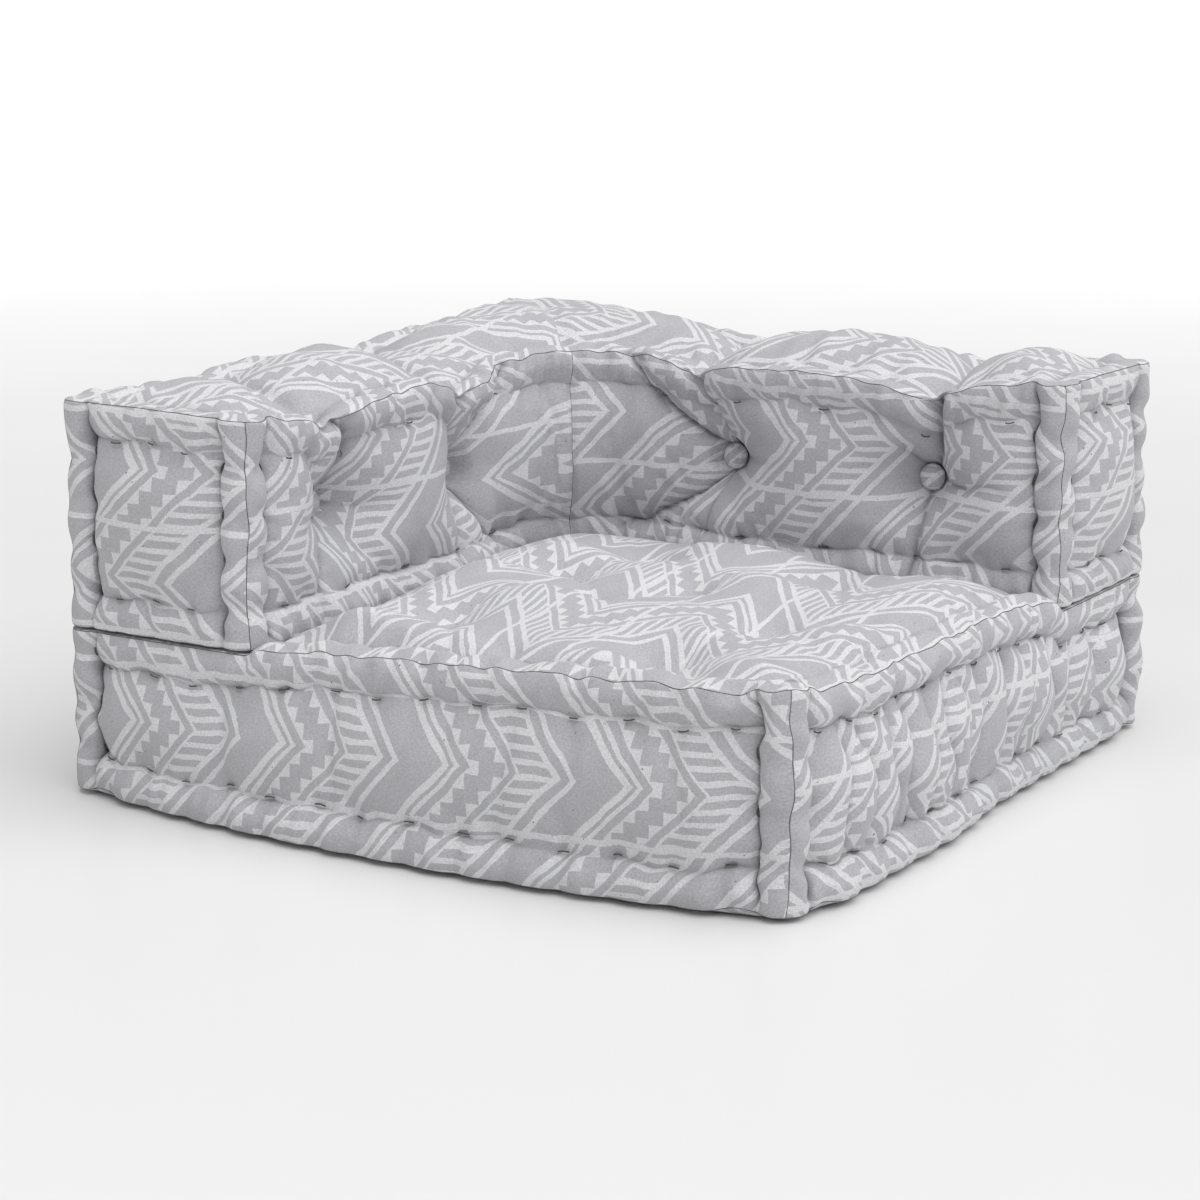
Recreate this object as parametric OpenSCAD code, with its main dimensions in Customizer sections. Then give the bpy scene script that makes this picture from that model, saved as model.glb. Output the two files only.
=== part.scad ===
// Corner sofa module: a square floor cushion with an L-shaped back cushion lying on two of its
// edges. Both are cotton covers over cotton filling, with stuffed rolls along every edge and
// tufts sewn right through. The origin is on the floor under the middle of the seat, +Z is up,
// the back lies along -X and +Y, and the free corner of the seat is at +X, -Y.

/* [Module] */
// Side of the square seat, from roll to roll
side = 1000; // [920:10:1060]
// Thickness of each arm of the back, from roll to roll
arm = 280; // [264:2:296]
// Air left between the back and the seat that it lies on
lift_gap = 0.4; // [0.3:0.1:1]

/* [Seat cushion] */
// Height of the seat under the back, where it is pressed down
seat_pressed = 210; // [200:1:225]
// Height of the seat's free edges
seat_edge = 243; // [236:1:255]
// Distance in which a free edge climbs from the pressed height
seat_rise = 260; // [200:10:320]
// Height of the free corner above the free edges
corner_ear = 20; // [0:1:30]
// Distance from the free corner in which its ear dies out
ear_reach = 150; // [100:10:200]
// Height of the crown above the edges
seat_crown = 26; // [15:1:36]
// Width of the crown's rounded shoulder
seat_shoulder = 65; // [50:5:120]
// Distance from tuft to tuft in the seat
seat_tuft_pitch = 290; // [280:2:300]
// Depth of a tuft below the crown
seat_tuft_depth = 16; // [12:1:34]
// Swell of the front and rear walls at the floor
base_bow = 42; // [0:1:60]
// Swell of the left and right walls at the floor
side_bow = 14; // [0:1:30]

/* [Back cushion] */
// Height of the back, from its underside to the top of its rolls
back_height = 274; // [262:1:290]
// Height of the top pillows above the rolls' inner edge
back_crown = 42; // [20:1:48]
// Distance of the outer tuft of an arm from the middle of the module
tuft_far = 290; // [276:2:300]
// Distance of the inner tuft of an arm from the middle of the module
tuft_near = 0; // [-6:1:10]
// Height of the back's tufts above its underside
tuft_height = 140; // [130:1:150]
// Depth of the tufts in the inner walls
inner_tuft_depth = 58; // [30:1:64]
// Depth of the tufts in the outer walls
outer_tuft_depth = 36; // [20:1:50]
// Pull of each tuft on the top rolls, inwards and down
edge_pinch = 12; // [0:1:18]
// Set-back of the inner walls next to the corner
corner_recess = 30; // [0:1:36]
// Radius of the inner corner
corner_radius = 100; // [70:5:120]

/* [Edge rolls] */
// Width of a stuffed edge roll
roll = 40; // [34:1:46]
// Height of a free roll above the panel beside it
roll_proud = 8; // [4:1:12]
// Set-back of the walls from the outermost line of the rolls
wall_inset = 12; // [8:1:16]
// Extra width of the upright corner rolls
corner_cut = 8; // [6:1:12]
// Swell of the walls between their rolls
wall_bulge = 9; // [0:1:12]

/* [Cover and tufting] */
// Thickness of the cotton cover
cover = 1.6; // [1.2:0.1:2.4]
// Half width of the flat floor of a tuft
tuft_floor = 19; // [18.5:0.5:21]
// Width of the slope round a seat tuft
seat_tuft_reach = 96; // [70:2:110]
// Width of the slope round a back tuft
back_tuft_reach = 74; // [60:2:90]
// Diameter of the tufting twine
twine_d = 3; // [2:0.5:4]
// Slack between the twine and what it passes through
twine_slack = 0.2; // [0.1:0.1:0.4]
// Diameter of a covered button
button_d = 35; // [28:1:36]
// Thickness of a covered button
button_t = 15; // [10:1:20]
// Diameter of a twine knot
knot_d = 12; // [8:1:16]
// Height of a twine knot
knot_t = 6; // [4:1:8]
// Diameter of the floor of a dimple in the seat's base
dimple_d = 20; // [18:1:30]
// Depth of a dimple in the seat's base
dimple_depth = 14; // [11:1:20]

/* [Hidden] */

half = side / 2;
// Width of a corner roll on each wall, and the last place where an edge changes height
corner_w = roll + corner_cut;
flat_from = half - corner_w;
// First line of the seat clear of the back
open_margin = 4;
open_at = -half + arm + open_margin;
// Underside of the back, and the line of its top rolls
back_low = seat_pressed + lift_gap;
back_top = back_low + back_height;
tuft_z = back_low + tuft_height;
bore_d = twine_d + 2 * twine_slack;

// Colours of the cover, its darker walls, the rolls, the filling and the twine
cloth = [0.84, 0.84, 0.84];
cloth_shade = [0.74, 0.74, 0.75];
cloth_roll = [0.79, 0.79, 0.80];
flock = [0.93, 0.90, 0.84];
twine = [0.88, 0.86, 0.80];

function lerp(a, b, t) = a + (b - a) * t;
function ease(t) = let (c = min(1, max(0, t))) c * c * (3 - 2 * c);
function clamp(v, limit) = min(limit, max(-limit, v));
// 1 over the floor of a tuft, falling to 0 at its reach
function near(t, at, reach) = 1 - ease((abs(t - at) - tuft_floor) / reach);
// The place mirrored from one arm of the back to the other
function swap(p) = [-p[1], -p[0]];

// Rims. A grid of (nu + 1) x (nv + 1) places covers a cushion. Its rim runs anticlockwise
// from place [0, 0], and every loop of points round a cushion has one point for each place.
function rim(nu, nv) = concat(
    [for (i = [0:nu - 1]) [i, 0]], [for (j = [0:nv - 1]) [nu, j]],
    [for (i = [nu:-1:1]) [i, nv]], [for (j = [nv:-1:1]) [0, j]]);
function rim_index(i, j, nu, nv) =
    j == 0 ? i : i == nu ? nu + j : j == nv ? 2 * nu + nv - i : 2 * nu + 2 * nv - j;
function on_rim(i, j, nu, nv) = i == 0 || i == nu || j == 0 || j == nv;

// A station of a rim is [outline point, inward direction, is corner, bow, pinch].
// The bow widens the base and the pinch narrows the top.
function inset(st, d, low) =
    st[0] + st[1] * (d + (st[2] ? corner_cut / 2 : 0) - low * st[3] + (1 - low) * st[4]);
function rail(ring, d, low, zs) =
    [for (k = [0:len(ring) - 1]) concat(inset(ring[k], d, low), [zs[k]])];
// The same loop with each corner point midway between its neighbours, as a straight chord
function chord(ring, loop) = let (n = len(loop))
    [for (k = [0:n - 1]) ring[k][2] ? (loop[(k + n - 1) % n] + loop[(k + 1) % n]) / 2 : loop[k]];

// Loops of a wall from its lowest row to its highest: rows[m] holds [low, heights, swells]
function wall(ring, rows, depth) =
    [for (row = rows) chord(ring, [for (k = [0:len(ring) - 1])
        concat(inset(ring[k], wall_inset + depth - row[2][k], row[0]), [row[1][k]])])];

// Seven rails of a stuffed roll, from the panel round the outside to the wall. The rail at
// a panel is lip above or below the roll's own line, and up is 1 at a top edge, -1 at a base.
function roll_rails(ring, low, zs, lips, up) =
    let (at = function (d, drops) rail(ring, d, low, zs - up * drops),
         flat = [for (z = zs) 1])
    [at(roll, lips + flat * cover), at(roll, lips), at(roll * 0.5, flat * 0),
     at(0, flat * roll * 0.45), at(roll * 0.1, flat * roll),
     chord(ring, at(wall_inset, flat * roll)), chord(ring, at(wall_inset + cover, flat * roll))];

// Triangles of a grid of point numbers, each cell split along its shorter diagonal
function cell_faces(grid, points) =
    let (nr = len(grid) - 1, nc = len(grid[0]) - 1)
    [for (r = [0:nr - 1], c = [0:nc - 1])
        let (a = grid[r][c], b = grid[r][c + 1], d = grid[r + 1][c], e = grid[r + 1][c + 1],
             straight = norm(points[a] - points[e]) <= norm(points[b] - points[d]))
        each straight ? [[a, b, e], [a, e, d]] : [[a, b, d], [b, e, d]]];
function flipped(faces) = [for (f = faces) [f[2], f[1], f[0]]];

// A closed sheet between two grids of points that face the same way
module sheet(outer, inner) {
    nu = len(outer) - 1;
    nv = len(outer[0]) - 1;
    n = (nu + 1) * (nv + 1);
    grid = [for (i = [0:nu]) [for (j = [0:nv]) i * (nv + 1) + j]];
    under = [for (line = grid) [for (p = line) p + n]];
    edge = [for (p = rim(nu, nv)) grid[p[0]][p[1]]];
    last = len(edge) - 1;
    points = [for (g = [outer, inner], line = g, p = line) p];
    sides = [for (k = [0:last]) let (a = edge[k], b = edge[k == last ? 0 : k + 1])
        each [[a, b, b + n], [a, b + n, a + n]]];
    polyhedron(points, concat(cell_faces(grid, points), flipped(cell_faces(under, points)), sides),
               convexity = 8);
}

// A closed ring of loops, each joined to the next and the last to the first
module ring_of(rails) {
    nk = len(rails[0]);
    nm = len(rails);
    points = [for (r = rails, p = r) p];
    grid = [for (m = [0:nm]) [for (k = [0:nk]) (m % nm) * nk + k % nk]];
    polyhedron(points, cell_faces(grid, points), convexity = 8);
}

// A closed body of stacked loops between two grids of points, its base and its top
module body_of(loops, base, top) {
    nk = len(loops[0]);
    nl = len(loops);
    nu = len(top) - 1;
    nv = len(top[0]) - 1;
    inside = function (grid) [for (i = [1:nu - 1], j = [1:nv - 1]) grid[i][j]];
    numbers = function (loop, from) [for (i = [0:nu]) [for (j = [0:nv])
        on_rim(i, j, nu, nv) ? loop * nk + rim_index(i, j, nu, nv)
        : from + (i - 1) * (nv - 1) + j - 1]];
    points = concat([for (l = loops, p = l) p], inside(base), inside(top));
    walls = [for (m = [0:nl - 1]) [for (k = [0:nk]) m * nk + k % nk]];
    base_grid = numbers(0, nl * nk);
    top_grid = numbers(nl - 1, nl * nk + (nu - 1) * (nv - 1));
    polyhedron(points, concat(flipped(cell_faces(base_grid, points)),
                              flipped(cell_faces(walls, points)),
                              cell_faces(top_grid, points)), convexity = 8);
}

// A panel of a wall, from station first to station last
module wall_panel(ring, rows, first, last) {
    outer = wall(ring, rows, 0);
    inner = wall(ring, rows, cover);
    sheet([for (k = [first:last]) [for (loop = outer) loop[k]]],
          [for (k = [first:last]) [for (loop = inner) loop[k]]]);
}

// Upright rolls at the corners of a rim
module corner_rolls(ring, low, tops) {
    n = len(ring);
    nose = [[corner_w, wall_inset], [corner_w * 0.7, 0], [corner_w * 0.25, 0],
            [0, corner_w * 0.25], [0, corner_w * 0.7], [wall_inset, corner_w],
            [wall_inset + cover, corner_w], [corner_w, wall_inset + cover]];
    for (k = [0:n - 1]) if (ring[k][2]) {
        before = ring[(k + n - 1) % n][1];
        after = ring[(k + 1) % n][1];
        translate([0, 0, low + roll])
            linear_extrude(tops[k] - low - 2 * roll)
                polygon([for (p = nose) ring[k][0] + before * p[1] + after * p[0]]);
    }
}

// Seat: lines of its grid across X, the same lines mirrored across Y
seat_third = (-tuft_floor - open_at) / 3;
seat_span = seat_tuft_pitch - 2 * tuft_floor;
seat_x = [-half + roll, -flat_from, (-flat_from - seat_tuft_pitch - tuft_floor) / 2,
          -seat_tuft_pitch - tuft_floor, -seat_tuft_pitch + tuft_floor,
          open_at, open_at + seat_third, open_at + 2 * seat_third,
          -tuft_floor, tuft_floor, tuft_floor + seat_span / 3, tuft_floor + seat_span * 2 / 3,
          seat_tuft_pitch - tuft_floor, seat_tuft_pitch + tuft_floor,
          (flat_from + seat_tuft_pitch + tuft_floor) / 2, flat_from, half - roll];
seat_n = len(seat_x) - 1;
function seat_y(j) = -seat_x[seat_n - j];

function seat_station(i, j) =
    let (sx = i == 0 ? -1 : i == seat_n ? 1 : 0, sy = j == 0 ? -1 : j == seat_n ? 1 : 0,
         swell = function (t, most) most * (1 - pow(clamp(t / flat_from, 1), 2)))
    sx != 0 && sy != 0 ? [[sx, sy] * half, [-sx, -sy], true, 0, 0]
    : sy != 0 ? [[seat_x[i], sy * half], [0, -sy], false, swell(seat_x[i], base_bow), 0]
    : [[sx * half, seat_y(j)], [-sx, 0], false, swell(seat_y(j), side_bow), 0];

// How far a place lies out of the back's footprint
function seat_open(p) = min(clamp(p[0], flat_from), -clamp(p[1], flat_from)) - open_at;
// Line of the top rolls, and how far the panel lies below it
function seat_level(p) =
    let (ear = norm([clamp(p[0], flat_from) - flat_from, clamp(p[1], flat_from) + flat_from]))
    lerp(seat_pressed, seat_edge, ease(seat_open(p) / seat_rise))
    + corner_ear * ease(1 - ear / ear_reach);
function seat_lip(p) = roll_proud * ease(seat_open(p) / seat_shoulder);
// Height of the top panel before and after its tufts are drawn in
function seat_smooth(p) =
    seat_level(p) - seat_lip(p) + seat_crown * ease(seat_open(p) / seat_shoulder)
    * ease((half - roll - max(abs(p[0]), abs(p[1]))) / seat_shoulder);
function seat_surface(p) =
    let (t = [for (v = p) seat_tuft_pitch * clamp(round(v / seat_tuft_pitch), 1)],
         pull = near(p[0], t[0], seat_tuft_reach) * near(p[1], t[1], seat_tuft_reach))
    lerp(seat_smooth(p), seat_smooth(t) - seat_tuft_depth, pull);

seat_rim = rim(seat_n, seat_n);
seat_ring = [for (p = seat_rim) seat_station(p[0], p[1])];
seat_lips = [for (st = seat_ring) seat_lip(inset(st, roll, 0))];
seat_tops = [for (st = seat_ring) seat_level(inset(st, roll, 0))];
seat_base = [for (st = seat_ring) 0];
seat_flush = [for (st = seat_ring) 0];
// Stations that may swell: all but the corners and their neighbours
seat_free = [for (p = seat_rim) min(p[0], seat_n - p[0]) == 1 || min(p[1], seat_n - p[1]) == 1
    || (min(p[0], seat_n - p[0]) == 0 && min(p[1], seat_n - p[1]) == 0) ? 0 : 1];
seat_rows = [for (t = [0, 1 / 3, 2 / 3, 1])
    [pow(1 - t, 1.2), [for (z = seat_tops) lerp(roll, z - roll, t)],
     seat_free * (wall_bulge * sin(180 * t))]];
seat_cap = [for (i = [0:seat_n]) [for (j = [0:seat_n])
    let (p = on_rim(i, j, seat_n, seat_n)
        ? inset(seat_station(i, j), roll, 0) : [seat_x[i], seat_y(j)])
    [p[0], p[1], seat_surface(p)]]];
seat_cap_under = [for (line = seat_cap) [for (p = line) p - [0, 0, cover]]];
seat_tufts = [for (i = [-1:1], j = [-1:1]) [i, j] * seat_tuft_pitch];

module at_seat_tufts() for (t = seat_tufts) translate([t[0], t[1], 0]) children();

// Hollow of a base dimple, grown by the cover when cut out of the filling
module dimple(skin) {
    top = dimple_depth + skin;
    rotate_extrude($fn = 48)
        polygon([[0, -1], [dimple_d / 2 + dimple_depth + skin + 1, -1],
                 [dimple_d / 2 + skin, top], [0, top]]);
}

module seat_bores() at_seat_tufts()
    translate([0, 0, -1]) cylinder(d = bore_d, h = seat_edge + corner_ear + seat_crown, $fn = 24);

module seat_filling() color(flock) difference() {
    body_of(concat([rail(seat_ring, roll, 1, seat_flush + [for (st = seat_ring) cover])],
                   wall(seat_ring, seat_rows, cover),
                   [rail(seat_ring, roll, 0,
                         seat_tops - seat_lips - [for (st = seat_ring) cover])]),
            [for (line = seat_cap) [for (p = line) [p[0], p[1], cover]]], seat_cap_under);
    seat_bores();
    at_seat_tufts() dimple(cover);
}

module seat_top_panel() color(cloth) difference() {
    sheet(seat_cap, seat_cap_under);
    seat_bores();
}

module seat_base_panel() color(cloth_shade) difference() {
    union() {
        linear_extrude(cover)
            polygon([for (st = seat_ring) inset(st, roll, 1)]);
        at_seat_tufts() intersection() {
            dimple(cover);
            cylinder(r = dimple_d + dimple_depth, h = dimple_depth + cover, $fn = 48);
        }
    }
    at_seat_tufts() dimple(0);
    seat_bores();
}

module seat_border(edge) wall_panel(seat_ring, seat_rows, edge * seat_n + 1, (edge + 1) * seat_n - 1);
module seat_front_border() color(cloth_shade) seat_border(0);
module seat_right_border() color(cloth_shade) seat_border(1);
module seat_rear_border() color(cloth_shade) seat_border(2);
module seat_left_border() color(cloth_shade) seat_border(3);

module seat_top_roll() color(cloth_roll)
    ring_of(roll_rails(seat_ring, 0, seat_tops, seat_lips, 1));
module seat_base_roll() color(cloth_roll) ring_of([for (m = [6:-1:0])
    roll_rails(seat_ring, 1, seat_base, seat_flush, -1)[m]]);
module seat_corner_rolls() color(cloth_roll) corner_rolls(seat_ring, 0, seat_tops);

function seat_floor(t) = seat_smooth(t) - seat_tuft_depth;
module seat_tuft_twines() color(twine) for (t = seat_tufts)
    translate([t[0], t[1], dimple_depth])
        cylinder(d = twine_d, h = seat_floor(t) - dimple_depth, $fn = 24);

// A flattened knot on its resting face
module knot() rotate_extrude($fn = 32)
    polygon([[0, 0], [knot_d * 0.42, 0], [knot_d / 2, knot_t * 0.35],
             [knot_d * 0.44, knot_t * 0.75], [knot_d * 0.2, knot_t], [0, knot_t]]);
module seat_top_knots() color(twine) for (t = seat_tufts)
    translate([t[0], t[1], seat_floor(t)]) knot();
module seat_base_knots() color(twine) at_seat_tufts()
    translate([0, 0, dimple_depth]) mirror([0, 0, 1]) knot();

// Back: lines along an arm, from its end to the seam in the corner, for the inner and outer walls
back_end = -half + roll;
back_third = (tuft_far - tuft_near) - 2 * tuft_floor;
back_arm = [back_end, -flat_from, (-flat_from - tuft_far - tuft_floor) / 2,
            -tuft_far - tuft_floor, -tuft_far + tuft_floor,
            -tuft_far + tuft_floor + back_third / 3, -tuft_far + tuft_floor + back_third * 2 / 3,
            -tuft_near - tuft_floor, -tuft_near + tuft_floor];
bay = len(back_arm) - 1;
seam = bay + 4;
back_nu = 2 * seam;
back_across = [0, corner_cut / (arm - 2 * roll), 0.33, 0.67,
               1 - corner_cut / (arm - 2 * roll), 1];
back_nv = len(back_across) - 1;

// Inner outline: the arm's wall, its set-back beside the corner, then a quarter round
inner_x = -half + arm;
round_at = inner_x - corner_recess + corner_radius;
function inner_station(i) =
    i <= bay ? [[inner_x, back_arm[i]], [-1, 0]]
    : i == bay + 1 ? [[inner_x - corner_recess * 0.8, lerp(back_arm[bay], -round_at, 0.55)], [-1, 0]]
    : let (turn = 180 - 22.5 * (i - bay - 2), n = [cos(turn), sin(turn)])
      [[round_at, -round_at] + n * corner_radius, n];
function outer_y(i) = i <= bay ? back_arm[i] : lerp(back_arm[bay], flat_from, (i - bay) / 3);

// How strongly a tuft pulls at a line across an arm
function back_pull(i) = let (m = min(i, back_nu - i))
    m > bay ? 0 : max(near(back_arm[m], -tuft_far, back_tuft_reach),
                      near(back_arm[m], -tuft_near, back_tuft_reach));

function arm_station(i, j) =
    let (pinch = edge_pinch * back_pull(i), across = back_across[j])
    i == 0 && j == 0 ? [[inner_x, -half], [-1, 1], true, 0, 0]
    : i == 0 && j == back_nv ? [[-half, -half], [1, 1], true, 0, 0]
    : i == 0 ? [[lerp(inner_x - roll, back_end, across), -half], [0, 1], false, 0, 0]
    : i == seam && j == back_nv ? [[-half, half], [1, -1], true, 0, 0]
    : j == back_nv ? [[-half, outer_y(i)], [1, 0], false, 0, pinch]
    : let (st = inner_station(i)) [st[0], st[1], false, 0, pinch];
function back_station(i, j) =
    i <= seam ? arm_station(i, j)
    : let (st = arm_station(back_nu - i, j)) [swap(st[0]), swap(st[1]), st[2], st[3], st[4]];

function back_line(i) = back_top - edge_pinch * back_pull(i);
function back_place(i, j) = on_rim(i, j, back_nu, back_nv)
    ? inset(back_station(i, j), roll, 0)
    : lerp(inset(back_station(i, 0), roll, 0), inset(back_station(i, back_nv), roll, 0),
           back_across[j]);

back_rim = rim(back_nu, back_nv);
back_ring = [for (p = back_rim) back_station(p[0], p[1])];
back_tops = [for (p = back_rim) back_line(p[0])];
back_lips = [for (p = back_rim) roll_proud];
back_base = [for (p = back_rim) back_low];
back_flush = [for (p = back_rim) 0];
// Stations that may swell, and the pull and depth of the tufts at each
back_free = [for (p = back_rim) let (m = min(p[0], back_nu - p[0]), n = min(p[1], back_nv - p[1]))
    (m == 0 && n <= 1) || (n == 0 && m <= 1) || (p[1] == back_nv && m >= seam - 1) ? 0 : 1];
back_pulls = [for (p = back_rim) min(p[1], back_nv - p[1]) == 0 ? back_pull(p[0]) : 0];
back_depths = [for (p = back_rim) p[1] == 0 ? inner_tuft_depth : outer_tuft_depth];

// Rows of the walls: height, share of the swell, share of the tuft and share of the top's pinch
low_row = back_low + roll;
high_row = back_top - roll;
back_levels = [[low_row, 0, 0, 1],
               [(low_row + tuft_z - tuft_floor) / 2, 0.75, 0.4, 1],
               [tuft_z - tuft_floor, 1, 1, 1],
               [tuft_z + tuft_floor, 1, 1, 1],
               [(high_row + tuft_z + tuft_floor) / 2, 0.75, 0.4, 0.5],
               [high_row, 0, 0, 0]];
back_rows = [for (level = back_levels)
    [level[3],
     [for (z = back_tops) level[0] == high_row ? z - roll : level[0]],
     [for (k = [0:len(back_rim) - 1]) let (pull = back_pulls[k] * level[2])
        wall_bulge * level[1] * back_free[k] * (1 - pull) - back_depths[k] * pull]]];
back_cap = [for (i = [0:back_nu]) [for (j = [0:back_nv])
    let (p = back_place(i, j), edge = on_rim(i, j, back_nu, back_nv) ? 0 : 1)
    [p[0], p[1], back_line(i) - roll_proud
        + edge * back_crown * sin(180 * back_across[j]) * (1 - 0.85 * back_pull(i))]]];
back_cap_under = [for (line = back_cap) [for (p = line) p - [0, 0, cover]]];

module both_arms() {
    children();
    mirror([1, 1, 0]) children();
}
// Places of an arm's tufts, with X pointing into the sitting space
module at_arm_tufts() for (y = [-tuft_far, -tuft_near]) translate([0, y, tuft_z]) children();
inner_face = inner_x - wall_inset - inner_tuft_depth;
outer_face = -half + wall_inset + outer_tuft_depth;

module back_bores() both_arms() at_arm_tufts()
    translate([-half, 0, 0]) rotate([0, 90, 0]) cylinder(d = bore_d, h = arm, $fn = 24);

module back_filling() color(flock) difference() {
    body_of(concat([rail(back_ring, roll, 1, back_base + [for (p = back_rim) cover])],
                   wall(back_ring, back_rows, cover),
                   [rail(back_ring, roll, 0,
                         back_tops - back_lips - [for (p = back_rim) cover])]),
            [for (line = back_cap) [for (p = line) [p[0], p[1], back_low + cover]]],
            back_cap_under);
    back_bores();
}

module back_top_panel() color(cloth) sheet(back_cap, back_cap_under);
module back_base_panel() color(cloth_shade)
    translate([0, 0, back_low]) linear_extrude(cover)
        polygon([for (st = back_ring) inset(st, roll, 1)]);

module back_border(first, last) color(cloth_shade) difference() {
    wall_panel(back_ring, back_rows, first, last);
    back_bores();
}
outer_from = back_nu + back_nv;
module back_inner_left_border() back_border(1, seam);
module back_inner_rear_border() back_border(seam, back_nu - 1);
module back_right_end() back_border(back_nu + 1, outer_from - 1);
module back_outer_rear_border() back_border(outer_from + 1, outer_from + seam - 1);
module back_outer_left_border() back_border(outer_from + seam + 1, outer_from + back_nu - 1);
module back_front_end() back_border(outer_from + back_nu + 1, 2 * outer_from - 1);

module back_top_roll() color(cloth_roll)
    ring_of(roll_rails(back_ring, 0, back_tops, back_lips, 1));
module back_base_roll() color(cloth_roll) ring_of([for (m = [6:-1:0])
    roll_rails(back_ring, 1, back_base, back_flush, -1)[m]]);
module back_corner_rolls() color(cloth_roll) corner_rolls(back_ring, back_low, back_tops);

// A domed button covered in the cloth, standing on its flat back
module button() rotate_extrude($fn = 48)
    polygon([[0, 0], [button_d * 0.46, 0], [button_d / 2, button_t * 0.3],
             [button_d * 0.47, button_t * 0.55], [button_d * 0.36, button_t * 0.82],
             [button_d * 0.18, button_t * 0.96], [0, button_t]]);
module back_inner_buttons() color(cloth_roll) both_arms() at_arm_tufts()
    translate([inner_face, 0, 0]) rotate([0, 90, 0]) button();
module back_outer_buttons() color(cloth_roll) both_arms() at_arm_tufts()
    translate([outer_face, 0, 0]) rotate([0, -90, 0]) button();
module back_tuft_twines() color(twine) both_arms() at_arm_tufts()
    translate([outer_face, 0, 0]) rotate([0, 90, 0])
        cylinder(d = twine_d, h = inner_face - outer_face, $fn = 24);

seat_filling();
seat_top_panel();
seat_base_panel();
seat_front_border();
seat_right_border();
seat_rear_border();
seat_left_border();
seat_top_roll();
seat_base_roll();
seat_corner_rolls();
seat_tuft_twines();
seat_top_knots();
seat_base_knots();
back_filling();
back_top_panel();
back_base_panel();
back_inner_left_border();
back_inner_rear_border();
back_outer_left_border();
back_outer_rear_border();
back_front_end();
back_right_end();
back_top_roll();
back_base_roll();
back_corner_rolls();
back_inner_buttons();
back_outer_buttons();
back_tuft_twines();
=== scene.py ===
"""Corner sofa module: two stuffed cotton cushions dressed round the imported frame.

The covers are grids of quads that follow the sewn panels. Stitches, tufts and the floor hold
them, a cloth simulation fills them, and each panel keeps its own print coordinates in metres.
"""
import itertools
import math

import bpy
import numpy as np
from mathutils import Matrix, Vector


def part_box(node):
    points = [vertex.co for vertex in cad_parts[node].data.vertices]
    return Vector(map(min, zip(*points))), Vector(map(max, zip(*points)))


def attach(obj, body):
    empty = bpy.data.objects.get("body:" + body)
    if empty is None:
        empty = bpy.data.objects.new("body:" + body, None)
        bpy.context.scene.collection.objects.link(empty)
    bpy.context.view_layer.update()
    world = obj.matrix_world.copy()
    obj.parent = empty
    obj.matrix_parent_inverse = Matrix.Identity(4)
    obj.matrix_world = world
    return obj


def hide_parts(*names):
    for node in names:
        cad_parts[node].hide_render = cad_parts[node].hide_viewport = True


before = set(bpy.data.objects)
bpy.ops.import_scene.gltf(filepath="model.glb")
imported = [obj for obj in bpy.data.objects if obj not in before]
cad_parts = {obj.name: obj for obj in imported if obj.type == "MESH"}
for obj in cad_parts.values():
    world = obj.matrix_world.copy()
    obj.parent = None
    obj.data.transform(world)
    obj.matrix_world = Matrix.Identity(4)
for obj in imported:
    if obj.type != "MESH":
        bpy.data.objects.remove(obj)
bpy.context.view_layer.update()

bl_info = {
    "name": "Corner sofa module",
    "version": (1, 0, 0),
    "blender": (4, 5, 0),
    "location": "3D View > Sidebar > Sofa",
    "description": "Stuffed covers, hand stitches, seams and a studio for the sofa module",
    "category": "Object",
}

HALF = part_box("seat_top_roll")[1].x                          # half of the sofa's side
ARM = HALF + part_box("back_front_end")[1].x + 0.048           # depth of an arm, with its roll
BACK_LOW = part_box("back_base_roll")[0].z                     # the back's underside
TUFT_Z = sum(c.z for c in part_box("back_inner_buttons")) / 2  # middle of the buttons
TUFT_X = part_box("back_inner_buttons")[0].x                   # back of the left arm's buttons
TUFTS_Y = (-0.29, 0.0)                                       # their places along the arm
BODIES = ("seat", "back")
FAR = 9.0              # farther off than anything on the sofa


def ease(t):
    """Smooth step from 0 to 1."""
    t = np.clip(t, 0.0, 1.0)
    return t * t * (3 - 2 * t)


def hill(t, width):
    """1 at t = 0, falling off smoothly with that width."""
    return np.exp(-(t / width) ** 2)


def cusp(t, width):
    """1 at t = 0, with a sharp tip, like cloth drawn in by a thread."""
    return np.exp(-np.abs(t) / width)


def along(value, points):
    """A smooth line through given (place, value) points."""
    x, y = np.array(points, float).T
    fine = np.linspace(x[0], x[-1], 400)
    size = 9
    kernel = np.hanning(size + 2)[1:-1]
    line = np.pad(np.interp(fine, x, y), size // 2, mode="edge")
    return np.interp(value, fine, np.convolve(line, kernel / kernel.sum(), "valid"))


def spaced(length, step):
    """Lines across a panel from 0 to length, closer together inside the rolls at its edges."""
    near = np.linspace(0, ROLL_ZONE, ROLL_STEPS + 1)
    count = max(2, round((length - 2 * ROLL_ZONE) / step)) + 1
    middle = np.linspace(ROLL_ZONE, length - ROLL_ZONE, count)
    return np.concatenate([near[:-1], middle, (length - near[::-1])[1:]])


def nearest(value, places):
    """Distance from each value to the nearest of the places."""
    return np.min(np.abs(np.asarray(value)[..., None] - np.asarray(places, float)), axis=-1)


def near_stitch(value, places):
    """1 at a stitch, falling to 0 between stitches."""
    return hill(nearest(value, places), HALF_STITCH)


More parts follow.
